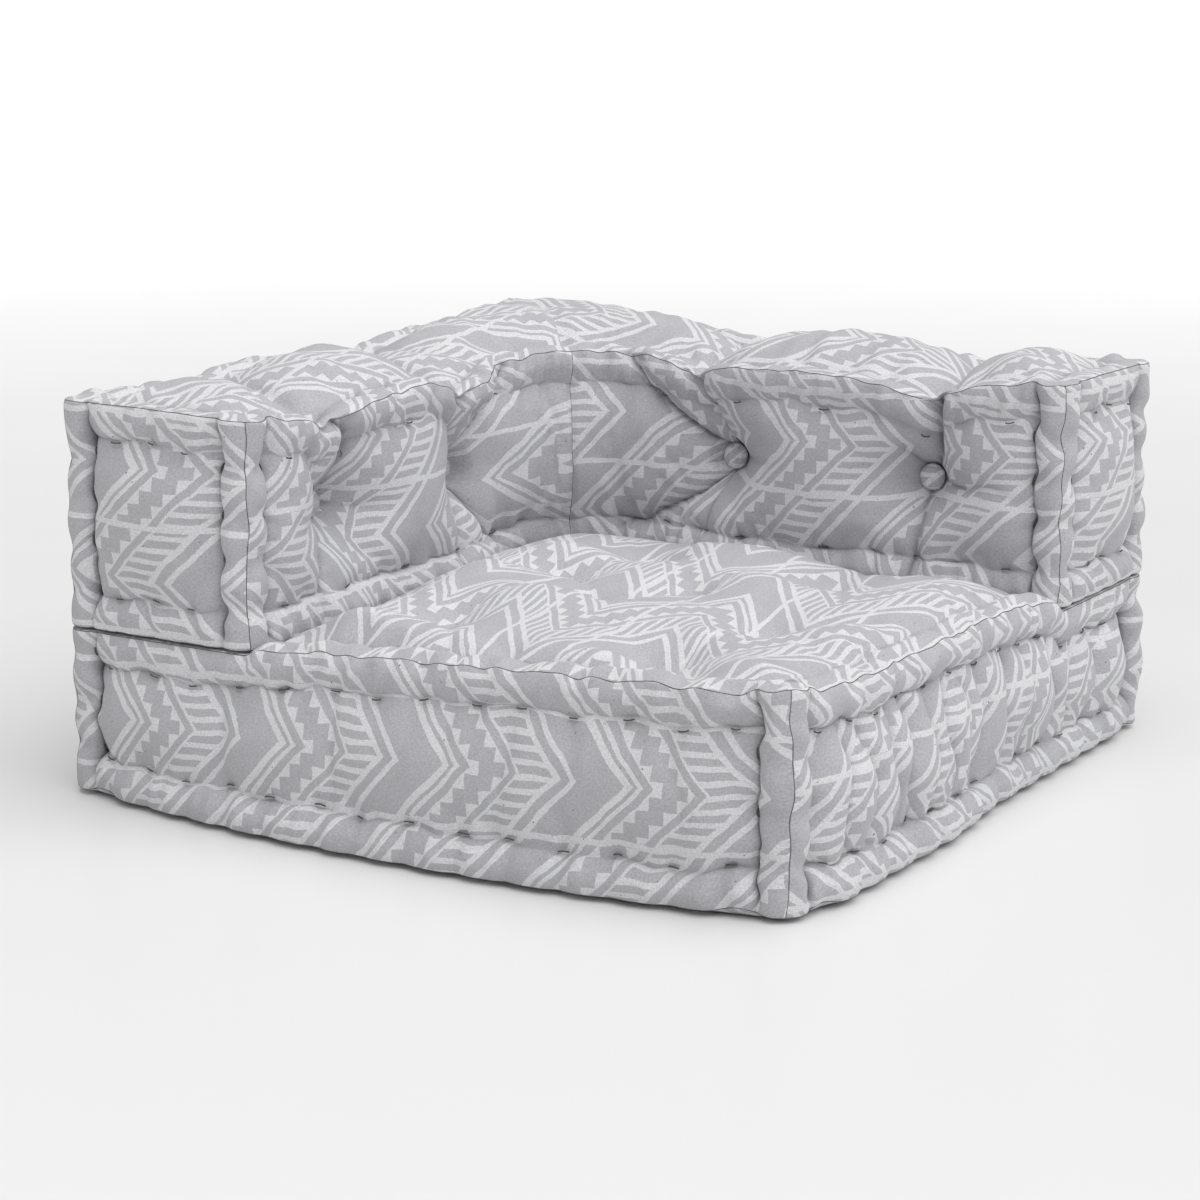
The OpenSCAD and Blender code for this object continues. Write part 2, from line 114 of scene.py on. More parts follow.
def crease(a, b, points, width):
    """Depth of a crease at (a, b), and the way to it: points are (a, b, depth) along it."""
    best, to_a, to_b = np.zeros((3, *np.broadcast(a, b).shape))
    for (a0, b0, d0), (a1, b1, d1) in zip(points, points[1:]):
        da, db = a1 - a0, b1 - b0
        t = np.clip(((a - a0) * da + (b - b0) * db) / (da * da + db * db), 0, 1)
        off_a, off_b = a0 + t * da - a, b0 + t * db - b
        deep = (d0 + (d1 - d0) * t) * cusp(np.hypot(off_a, off_b), width)
        best, to_a, to_b = (np.where(deep > best, new, old) for new, old in
                            ((deep, best), (off_a, to_a), (off_b, to_b)))
    return best, to_a, to_b


def ripple(a, b, rng, count, low, high):
    """Uneven fullness of hand-stuffed cloth, from -1 to 1: a few waves of mixed lengths."""
    total = np.zeros(np.broadcast(a, b).shape)
    for _ in range(count):
        wave = rng.uniform(low, high)
        turn, phase = rng.uniform(0, math.pi), rng.uniform(0, 2 * math.pi)
        total += np.sin(2 * math.pi * (a * math.cos(turn) + b * math.sin(turn)) / wave + phase)
    return total / math.sqrt(count) / 1.6


def wrinkles(a, b, rng, low, high):
    """Soft ridges parted by sharp creases, like canvas pulled this way and that, about -1 to 1."""
    return 1 - 2 * np.sqrt(np.abs(ripple(a, b, rng, 5, low, high)) + 0.02)


class Shell:
    """The quads of a cushion: a top grid, rows of walls down from its rim, and a base grid."""

    def __init__(self, nu, nv, rows):
        # The rim's places in the grid, anticlockwise from above
        self.rim = np.array([(i, 0) for i in range(nu)] + [(nu, j) for j in range(nv)]
                            + [(i, nv) for i in range(nu, 0, -1)]
                            + [(0, j) for j in range(nv, 0, -1)])
        i, j = self.rim.T
        grid = (nu + 1) * (nv + 1)
        self.rows = rows
        self.top = np.arange(grid).reshape(nu + 1, nv + 1)
        walls = grid + np.arange((rows - 1) * len(i)).reshape(rows - 1, len(i))
        self.base = self.top + grid + walls.size
        self.ring = np.vstack([self.top[i, j], walls, self.base[i, j]])
        self.count = 2 * grid + walls.size
        # Rim numbers where the four sides start, and the side of each rim place
        self.starts = np.array([0, nu, nu + nv, 2 * nu + nv])
        self.side = np.searchsorted(self.starts, np.arange(len(i)), "right") - 1

    def points(self, top, walls, base):
        """One array of points: walls are rows of rim points, with both seams in them."""
        co = np.zeros((self.count, 3))
        co[self.top] = top
        co[self.base] = base
        co[self.ring] = walls
        return co

    def values(self, top, walls, base):
        """One number for each point, the larger one where a seam is given two."""
        value = np.zeros(self.count)
        value[self.top] = top
        value[self.base] = np.maximum(value[self.base], base)
        value[self.ring] = np.maximum(value[self.ring], walls)
        return value

    def quads(self):
        """Quads of the top, of the base and of the walls, all facing outwards."""
        t, b, r = self.top, self.base, self.ring
        n = np.roll(r, -1, axis=1)
        parts = ([t[:-1, :-1], t[1:, :-1], t[1:, 1:], t[:-1, 1:]],
                 [b[:-1, :-1], b[:-1, 1:], b[1:, 1:], b[1:, :-1]],
                 [r[:-1], r[1:], n[1:], n[:-1]])
        return np.vstack([np.stack(part, -1).reshape(-1, 4) for part in parts])

    def seams(self, columns):
        """Closed seams round the top and the base, and upright seams at rim numbers."""
        paths = [(self.ring[0], True), (self.ring[-1], True)]
        return paths + [(self.ring[:, k], False) for k in columns]

    def wall_rows(self, height, low):
        """Each wall row's depth below the top seam, evenly spaced inside both rolls, its height
        over the base seam and over the floor, and its share of the way down.
        """
        tall, rows = height - low, self.rows
        step = ROLL_ZONE / ROLL_STEPS
        m = np.arange(rows + 1)[:, None]
        share = np.clip((m - ROLL_STEPS) / (rows - 2 * ROLL_STEPS), 0, 1)
        down = ROLL_ZONE + share * (tall - 2 * ROLL_ZONE)
        down = np.where(m < ROLL_STEPS, m * step, down)
        down = np.where(m > rows - ROLL_STEPS, tall - (rows - m) * step, down)
        return down, tall - down, height - down, down / tall


def grid_corners(plan, flip=False):
    """A grid's plan coordinates at the four corners of each quad."""
    a, b, c, d = plan[:-1, :-1], plan[1:, :-1], plan[1:, 1:], plan[:-1, 1:]
    return np.stack([a, d, c, b] if flip else [a, b, c, d], 2)


def wall_prints(print_place, place, length, level):
    """Print coordinates at the corners of each wall quad.

    print_place gives them for places along the walls and heights. A seam belongs to both its
    panels, so a side's last column stands at its length and not at the next side's start.
    """
    after = np.roll(place, -1)
    ends = np.where(after > place, after, length)
    (u0, v0), (u1, v1) = print_place(place, level), print_place(ends, np.roll(level, -1, axis=1))
    u0, u1 = (np.broadcast_to(u, v0[1:].shape) for u in (u0, u1))
    corners = [(u0, v0[:-1]), (u0, v0[1:]), (u1, v1[1:]), (u1, v1[:-1])]
    return np.stack([np.stack(c, -1) for c in corners], 2)


def put(name, data):
    """A new object in the scene."""
    piece = bpy.data.objects.new(name, data)
    bpy.context.scene.collection.objects.link(piece)
    return piece


def make_cover(name, shell, points, prints, hold, creased):
    """A closed mesh of the shell, with its print map, its painted crease shade and the weights
    that hold it.
    """
    mesh = bpy.data.meshes.new(name)
    mesh.from_pydata(points.tolist(), [], shell.quads().tolist())
    layer = mesh.uv_layers.new(name="print")
    layer.data.foreach_set("uv", np.vstack([p.reshape(-1, 2) for p in prints]).ravel())
    # The creased attribute is painted shade: it darkens the cloth along its creases, standing in
    # for their shadow
    painted_crease_shade = mesh.attributes.new("creased", "FLOAT", "POINT")
    painted_crease_shade.data.foreach_set("value", np.clip(creased, 0, 1))
    cover = put(name, mesh)
    group = cover.vertex_groups.new(name="hold")
    hold = np.round(hold, 1)
    for weight in np.unique(hold[hold > 0]):
        group.add(np.flatnonzero(hold == weight).tolist(), float(weight), "REPLACE")
    return cover


def vectors(items, key):
    """A vector property of a mesh's points as an array."""
    out = np.empty(len(items) * 3)
    items.foreach_get(key, out)
    return out.reshape(-1, 3)


def surface(cover):
    """A finished cover's points and its normals at them."""
    return vectors(cover.data.vertices, "co"), vectors(cover.data.vertex_normals, "vector")


def evaluated_mesh(piece):
    """A plain mesh of the piece with its modifiers applied."""
    graph = bpy.context.evaluated_depsgraph_get()
    return bpy.data.meshes.new_from_object(piece.evaluated_get(graph),
                                           preserve_all_data_layers=True, depsgraph=graph)


def stuff(cover, fill):
    """Fill a held cover with a cloth simulation, and keep each point near where it started."""
    start = vectors(cover.data.vertices, "co")
    cloth = cover.modifiers.new("filling", "CLOTH")
    settings = cloth.settings
    settings.quality = fill.quality
    settings.mass = 0.3
    settings.tension_stiffness = settings.compression_stiffness = fill.stiffness
    settings.shear_stiffness = fill.stiffness * 0.5
    settings.bending_stiffness = fill.bending
    settings.air_damping = 2.0
    settings.use_pressure = True
    settings.uniform_pressure_force = fill.pressure
    settings.shrink_min = -fill.slack
    settings.vertex_group_mass = "hold"
    settings.effector_weights.gravity = 0.0
    scene = bpy.context.scene
    cloth.point_cache.frame_start, cloth.point_cache.frame_end = 1, fill.frames
    for f in range(1, fill.frames + 1):
        scene.frame_set(f)
    filled = evaluated_mesh(cover)
    moved = vectors(filled.vertices, "co") - start
    bpy.data.meshes.remove(filled)
    cover.modifiers.remove(cloth)
    scene.frame_set(1)
    size = np.linalg.norm(moved, axis=1, keepdims=True)
    return start + moved * (fill.limit * np.tanh(size / fill.limit) / np.maximum(size, 1e-9))


def relax(shell, points, share):
    """Even out single grains of the grid without flattening the folds."""
    quads = shell.quads()
    edges = np.vstack([quads[:, [a, (a + 1) % 4]] for a in range(4)])
    total = np.zeros_like(points)
    for axis in range(3):
        for one, other in (edges.T, edges.T[::-1]):
            total[:, axis] += np.bincount(one, points[other, axis], shell.count)
    return points + share * (total / np.bincount(edges.ravel())[:, None] - points)


def finish_cover(cover, material):
    """One subdivision, smooth faces and its cloth."""
    cover.vertex_groups.clear()
    cover.data.materials.append(material)
    finer = cover.modifiers.new("finer", "SUBSURF")
    finer.levels = finer.render_levels = 1
    finer.uv_smooth = "NONE"
    mesh = evaluated_mesh(cover)
    cover.modifiers.remove(finer)
    old, cover.data = cover.data, mesh
    bpy.data.meshes.remove(old)
    mesh.name = cover.name
    mesh.shade_smooth()


PRINT_P = 0.241        # width of one repeat of the print
PRINT_Q = 0.2669       # height of one zigzag
BARE_MIDDLE = 0.25     # middle of its bare lines, in shares of that height
# How the print lies on each wall, read off the photograph: print width at places along the wall,
# and the height of one of its bare lines, on the seat with its rise along the wall, and on the
# left arm with the print's stretch
SEAT_PRINT = [[(0.0, -0.408), (1.0, 0.632)],
              [(0.0, 0.630), (0.55, 0.082), (0.64, -0.064), (0.70, -0.128), (0.80, -0.242),
               (0.90, -0.306), (1.0, -0.406)],
              [(0.0, 0.050), (1.0, 1.050)], [(0.0, 0.140), (1.0, 1.140)]]
SEAT_LINE = [(0.0578, 0.035), (0.150, 0.0), (0.058, 0.0), (0.058, 0.0)]
LEFT_PRINT = [(0.0, 0.1156), (0.18, 0.2956), (0.26, 0.4440), (0.2925, 0.4792), (0.389, 0.5792),
              (0.44, 0.630), (0.50, 0.723), (0.552, 0.780), (0.5935, 0.812), (0.625, 0.829),
              (0.697, 0.868), (0.7337, 0.880)]
LEFT_LINE = [(0.0, 0.371), (0.18, 0.371), (0.26, 0.368), (0.44, 0.368), (0.52, 0.389),
             (0.7337, 0.389)]
LEFT_STRETCH = [(0.0, 1.06), (0.18, 1.06), (0.26, 1.11), (0.44, 1.11), (0.52, 1.17),
                (0.7337, 1.17)]
REAR_PRINT = [(0.0, 0.607), (0.17, 0.437), (0.2407, 0.352), (0.30, 0.282), (0.3963, 0.182),
              (0.46, 0.122), (0.53, 0.013), (0.5935, -0.0507), (0.6662, -0.1244),
              (0.687, -0.1413), (0.7337, -0.1833)]
REAR_LINE = [(0.0, 0.333), (0.17, 0.333), (0.26, 0.326), (0.44, 0.326), (0.53, 0.335),
             (0.7337, 0.335)]
# How it lies on the parts of the tops: its stretch and its place
SEAT_TOP_STRETCH, SEAT_TOP_PLACE = (-0.87, 1.25), (-0.2718, -0.0228)
LEFT_TOP_PLACE, REAR_TOP_PLACE = (0.19, 0.13), (0.05, 0.06)

ROLL_ZONE = 0.048      # width of the finer grid along a seam
ROLL_STEPS = 8         # lines of that grid
ROLL = 0.042           # from a seam to the row of stitches beside it, on the seventh line
HALF_STITCH = 0.013    # half the width of the hollow at a stitch
POST = 0.0225          # radius of an upright roll
POST_PROUD = 0.0045    # of it that stands out of the flat walls between its stitches
ROLL_END = 0.036       # from a seam to where its level roll gives way to the crease
CREASE = 0.0045        # width of the line of painted shade in a hard crease
DRAWN = 0.0085         # width of the cloth that is drawn together at a crease
UPRIGHT_DEEP, LEVEL_DEEP = 0.019, 0.011  # depth of the creases beside the two kinds of rolls
PITCH, INNER_PITCH = 0.064, 0.062        # of the stitches, and of those of the inner walls


def stitch_places(length, pitch, rng, margin=0.07):
    """Places of hand stitches along a seam, a little uneven."""
    count = max(2, round((length - 2 * margin) / pitch) + 1)
    places = np.linspace(margin, length - margin, count)
    return places + rng.uniform(-0.05, 0.05, count) * pitch


def seam_wave(place, stitches):
    """How far a seam is drawn down at its stitches, and rides up between them."""
    wobble = np.sin(place * 91.0) + np.sin(place * 57.0 + 2.0) + np.sin(place * 151.0 + 4.0)
    return 0.0028 * hill(nearest(place, stitches), 0.017) - 0.0012 + 0.0010 * wobble


def puff(t, width):
    """The valley between two round puffs: 1 at its floor, 0 from that width on."""
    return 1 - np.sqrt(1 - (1 - np.clip(np.abs(t) / width, 0, 1)) ** 2)


def round_post(e):
    """How far the cloth of an upright roll is drawn off the corner, and its depth before and
    behind the roll's crown.

    e is the length of cloth from the seam, which runs down the middle of the roll, to its crease.
    """
    turn = np.radians(45 + 105 * np.clip(e / ROLL, 0, 1))
    depth = POST * (1 - np.sin(turn))
    before = np.where(turn < math.pi / 2, depth, 0.0)
    return np.maximum(e, POST * (1 - np.cos(turn))) - e, before, depth - before


def round_corners(x, y, corners):
    """How far a top or base is drawn in at its corners: (x, y, the way in along x, along y)."""
    dx, dy = np.zeros((2, *x.shape))
    for cx, cy, sx, sy in corners:
        a, b = (x - cx) * sx, (y - cy) * sy
        inside = (a > -1e-6) & (b > -1e-6)
        (off_a, deep_a, _), (off_b, deep_b, _) = round_post(a), round_post(b)
        share_a, share_b = (np.clip(1 - v / ROLL, 0, 1) for v in (a, b))
        w = ease(0.5 + (a - b) / 0.016)
        dx += sx * inside * (w * off_a * share_b + (1 - w) * deep_b * share_a)
        dy += sy * inside * (w * deep_a * share_b + (1 - w) * off_b * share_a)
    return dx, dy


def drawn_close(e):
    """How far cloth is drawn towards the crease at ROLL, so that its two sides nearly touch."""
    return -1.15 * (e - ROLL) * hill(e - ROLL, DRAWN)


def past_level_roll(e):
    """0 inside the level roll at that distance from its seam, 1 behind it."""
    return ease((e - ROLL_END) / 0.010)


def past_end(e):
    """How deep an upright roll's crease is at that distance from its end: 0.3 to 1."""
    return 0.3 + 0.7 * ease(e / 0.024)


def panel_relief(edges, stitches, belly, upright=(), level_share=1.0):
    """How far a sewn panel lies in from its seams' flat face, and how much painted shade its
    crease lines get.

    edges are the distances to its seams, and stitches how close a point is, from 0 to 1, to a
    stitch along each. Each roll swells, a deep crease parts it from the panel, and the middle
    swells. The creases of upright rolls run through, and those of the others end at them.
    """
    inset, creased = np.zeros((2, *np.broadcast(*edges).shape))
    inside = np.ones_like(inset)
    for e in edges:
        inside = inside * ease((e - ROLL) / 0.070)
    for k, (e, near) in enumerate(zip(edges, stitches)):
        clear = np.ones_like(inset)
        for other, o in enumerate(edges):
            if other != k and k in upright and other not in upright:
                clear = clear * past_end(o)
                # A pocket where a level crease runs into an upright one
                inset = inset + 0.010 * hill(np.hypot(e - ROLL - 0.004, o - ROLL - 0.003), 0.013)
            elif other != k:
                clear = clear * past_level_roll(o)
        if k in upright:
            deep = UPRIGHT_DEEP + 0.004 * near
            _, before, lobe = round_post(e)
            inset = inset + np.where(e < ROLL, before, 0.0) - POST_PROUD * (1 - 1.3 * near) * hill(
                e - 0.5 * ROLL, 0.5 * ROLL)
            roll_side = lobe + (deep - lobe[e < ROLL].max(initial=0)) * puff(e - ROLL, 0.014)
            strength = clear
        else:
            deep = (LEVEL_DEEP + 0.008 * near) * level_share
            roll_side = deep * puff(e - ROLL, 0.022) - 0.0065 * hill(e - 0.45 * ROLL, 0.014)
            strength = clear * level_share * (0.45 + 0.45 * near)
        inset = inset + clear * np.where(e < ROLL, roll_side, deep * puff(e - ROLL, 0.042))
        # Painted shade: a dark line along each crease, standing in for its shadow
        creased = np.maximum(creased, strength * hill(e - ROLL, CREASE))
    return inset - belly * inside, creased


def post_shift(from_start, to_end, down, up):
    """How far the cloth of a wall's two upright rolls is drawn along the wall, off the corners."""
    share = past_end(down) * past_end(up)
    first, second = (round_post(e)[0] + share * drawn_close(e) for e in (from_start, to_end))
    # The crease wanders, and turns in towards the seam at the foot
    wander = 0.0030 * np.sin(down * 96 + 1) + 0.0016 * np.sin(down * 211) - 0.008 * hill(up, 0.016)
    for e, sign in ((from_start, 1), (to_end, -1)):
        first = first + sign * share * wander * hill(e - ROLL, 0.020)
    return first - second


def level_shift(down, up, from_start, to_end):
    """How far the cloth of a wall's level rolls is drawn down or up towards their creases."""
    wander = 0.0022 * np.sin(from_start * 47 + 2) + 0.0014 * np.sin(from_start * 118)
    return past_level_roll(np.minimum(from_start, to_end)) * (
        drawn_close(up) - drawn_close(down)
        + wander * (hill(up - ROLL, 0.018) + hill(down - ROLL, 0.018)))


def uneven(place):
    """How much a level crease comes and goes along its seam."""
    wave = np.sin(place * 21 + 1) + np.sin(place * 36 + 4) + np.sin(place * 63)
    return 0.45 + 0.55 * ease(0.5 + 0.25 * wave)


def gathers(edges, place, rng):
    """Short uneven folds across the rolls, where the cloth is drawn up by its stitches."""
    fold = np.zeros(np.broadcast(*edges).shape)
    for e in edges:
        lean = rng.uniform(-0.5, 0.5)
        wave = sum(np.sin(2 * math.pi * (place + lean * e) / rng.uniform(0.019, 0.050)
                          + rng.uniform(0, 6.28)) for _ in range(6)) / 2.4
        fold = fold + wave * ease(e / 0.012) * (1 - ease((e - ROLL_END) / 0.034))
    return fold


def held(edges, nears, upright=(), between=1.0):
    """How firmly cloth is held beside its seams: 1 at a stitch, and less in the crease between
    stitches, where between says how much of that holds.
    """
    firm = np.zeros(np.broadcast(*edges).shape)
    for k, (e, near) in enumerate(zip(edges, nears)):
        clear = np.ones_like(firm)
        for other, o in enumerate(edges):
            if other != k:
                clear = clear * (o > (0.006 if k in upright and other not in upright else 0.040))
        in_crease = clear * (0.6 if k in upright else 0.45) * (np.abs(e - ROLL) < 0.0032)
        at_stitch = (near > 0.80) & (np.abs(e - ROLL) < 0.0042)
        firm = np.maximum(firm, np.maximum(at_stitch, in_crease * between))
    return firm


def wall_points(spot, out, reach, off, level, corners, down):
    """Points of the walls, from how far each stands out of its seam's place, and how far it is
    drawn along the wall. Each upright seam wanders a little from side to side on its roll.
    """
    aside = np.stack([-out[:, 1], out[:, 0]], -1)
    walls = np.empty((*level.shape, 3))
    walls[..., :2] = spot + out * reach[..., None] + aside * off[..., None]
    walls[..., 2] = level
    for k in corners:
        wander = 0.0016 * np.sin(down[:, k] * 52 + k) + 0.0010 * np.sin(down[:, k] * 117 + 2 * k)
        walls[:, k, :2] += (wander * ease(down[:, k] / 0.03))[:, None] * (out[k] - out[k - 1])
    return walls


def find_marks(ids, way, a, b, places):
    """Points of the grid nearest to (place, ROLL), each between its neighbours along the seam."""
    marks = []
    for place in places:
        i, j = np.unravel_index(np.argmin(np.hypot(a - place, b - ROLL)), a.shape)
        marks.append([ids[(i + s * way[0]) % ids.shape[0], (j + s * way[1]) % ids.shape[1]]
                      for s in (0, -1, 1)])
    return marks


def wall_marks(shell, place, level, places, heights, levels, uprights):
    """Points of the stitches: along each side's level rolls at its places, and up its upright
    rolls at the heights. levels and uprights are the distances to those rolls' seams.
    """
    marks = []
    for k, at in enumerate(places):
        elsewhere = np.where(shell.side == k, 0.0, FAR)
        for e in levels:
            marks += find_marks(shell.ring, (0, 1), place + elsewhere + 0 * e, e, at)
        for e in uprights[k]:
            marks += find_marks(shell.ring, (1, 0), level + elsewhere, e, heights)
    return marks


# Seam heights of the seat, as (place, height) along each edge, read from the photograph
SEAT_FRONT = [(-0.5, 0.2092), (-0.24, 0.2120), (-0.08, 0.226), (0.13, 0.239), (0.30, 0.245),
              (0.42, 0.250), (0.5, 0.262)]
SEAT_RIGHT = [(-0.5, 0.262), (-0.42, 0.246), (-0.34, 0.241), (0.04, 0.240), (0.16, 0.230),
              (0.25, 0.2140), (0.32, 0.2092), (0.5, 0.2092)]
SEAT_PRESSED = 0.2092
# Height at which the seat meets the back, along the left arm and along the rear arm
MEET_LEFT = [(-0.5, 0.212), (-0.36, 0.212), (-0.27, 0.215), (-0.19, 0.221), (-0.10, 0.232),
             (0.0, 0.236), (0.22, 0.236)]
MEET_REAR = [(-0.22, 0.236), (-0.03, 0.232), (0.12, 0.236), (0.19, 0.226), (0.27, 0.214),
             (0.33, 0.214), (0.40, 0.228), (0.5, 0.226)]
# Pillows of the seat: x, y, half widths along x and y, height
PILLOWS = [(0.02, -0.24, 0.085, 0.060, 0.019), (0.19, -0.04, 0.070, 0.055, 0.019),
           (-0.13, -0.15, 0.070, 0.055, 0.015), (-0.09, 0.02, 0.060, 0.050, 0.013),
           (0.09, 0.13, 0.110, 0.045, 0.013), (0.20, -0.44, 0.060, 0.035, 0.017),
           (0.30, -0.478, 0.035, 0.022, 0.009), (0.42, -0.42, 0.070, 0.040, 0.015),
           (0.42, -0.22, 0.060, 0.060, 0.014), (-0.11, -0.42, 0.110, 0.045, 0.010),
           (0.41, 0.02, 0.060, 0.080, 0.009), (0.15, -0.24, 0.060, 0.060, 0.006)]
# Tufts of the seat: x, y, half width, depth
HOLLOWS = [(0.05, -0.150, 0.042, 0.020), (0.13, -0.060, 0.042, 0.018),
           (-0.06, -0.030, 0.042, 0.018), (0.27, -0.370, 0.045, 0.020),
           (0.25, 0.060, 0.050, 0.018), (0.33, -0.425, 0.028, 0.010),
           (0.11, -0.478, 0.028, 0.009), (-0.05, -0.330, 0.045, 0.018),
           (0.32, -0.200, 0.045, 0.018), (-0.02, 0.085, 0.040, 0.014)]
# Creases between the pillows, as x, y, depth
VALLEYS = [[(-0.05, -0.33, 0.006), (-0.02, -0.16, 0.004), (-0.06, -0.03, 0.006)],
           [(-0.06, -0.03, 0.005), (0.05, -0.15, 0.007), (0.13, -0.06, 0.007)],
           [(0.13, -0.06, 0.006), (0.25, 0.06, 0.006)],
           [(0.05, -0.15, 0.006), (0.14, -0.30, 0.003), (0.27, -0.37, 0.007)],
           [(0.27, -0.37, 0.007), (0.33, -0.425, 0.005)],
           [(0.32, -0.20, 0.006), (0.27, -0.37, 0.006)],
           [(0.11, -0.478, 0.004), (0.27, -0.37, 0.005)],
           [(-0.06, -0.03, 0.005), (-0.02, 0.085, 0.005)]]
# Folds of the right wall, and softer ones of the front wall: place along it and depth
PLEATS_RIGHT = [(0.055, 0.004), (0.115, 0.011), (0.170, 0.013), (0.232, 0.011), (0.272, 0.012),
                (0.330, 0.008), (0.376, 0.014), (0.430, 0.007), (0.470, 0.009), (0.548, 0.013),
                (0.605, 0.006), (0.690, 0.013), (0.748, 0.010), (0.820, 0.006), (0.930, 0.008)]
PLEATS_FRONT = [(0.245, 0.007), (0.300, 0.003), (0.415, 0.003), (0.650, 0.006), (0.806, 0.004)]
# How far the right wall bows out, by y
SEAT_BOW_RIGHT = [(-0.5, 0), (-0.40, 0.018), (-0.12, 0.020), (0.02, 0.004), (0.20, 0.002),
                  (0.5, 0)]
# The most that the other walls bow out
SEAT_BOW_FRONT, SEAT_BOW_REAR, SEAT_BOW_LEFT = 0.050, 0.040, 0.012
SEAT_SOFT = [0.65, 1.0, 0.9, 0.9]  # how deep the level creases are in each side
SEAT_SWELL = 0.248     # height of the top's open middle between its pillows
SEAT_LAIN = 0.2085     # its height where the back presses it flat
TUFT_HOLDS = 0.009     # radius in which a tuft holds the cover
SEAT_UPPER = 0.12      # height that parts the seat's upper half from its lower one
SEAT_HEIGHTS = [0.062, 0.122, 0.182]  # of the stitches up its upright rolls
SEAT_STEP, SEAT_ROWS = 0.0076, 34     # width of its quads, and rows of its walls
COVER_GAP = 0.0005     # from each cover to the plane where the back lies on the seat
KNOT_RADIUS = 0.006


def seat_edge(x, y, front, right):
    """A height for a place on the seat's top, from its nearest edges."""
    d = np.stack([y + HALF, HALF - x, HALF - y, x + HALF]) + 0.002
    weight = 1 / d ** 3
    values = np.stack([front, right, *np.full((2, *x.shape), SEAT_PRESSED)])
    return (weight * values).sum(0) / weight.sum(0)


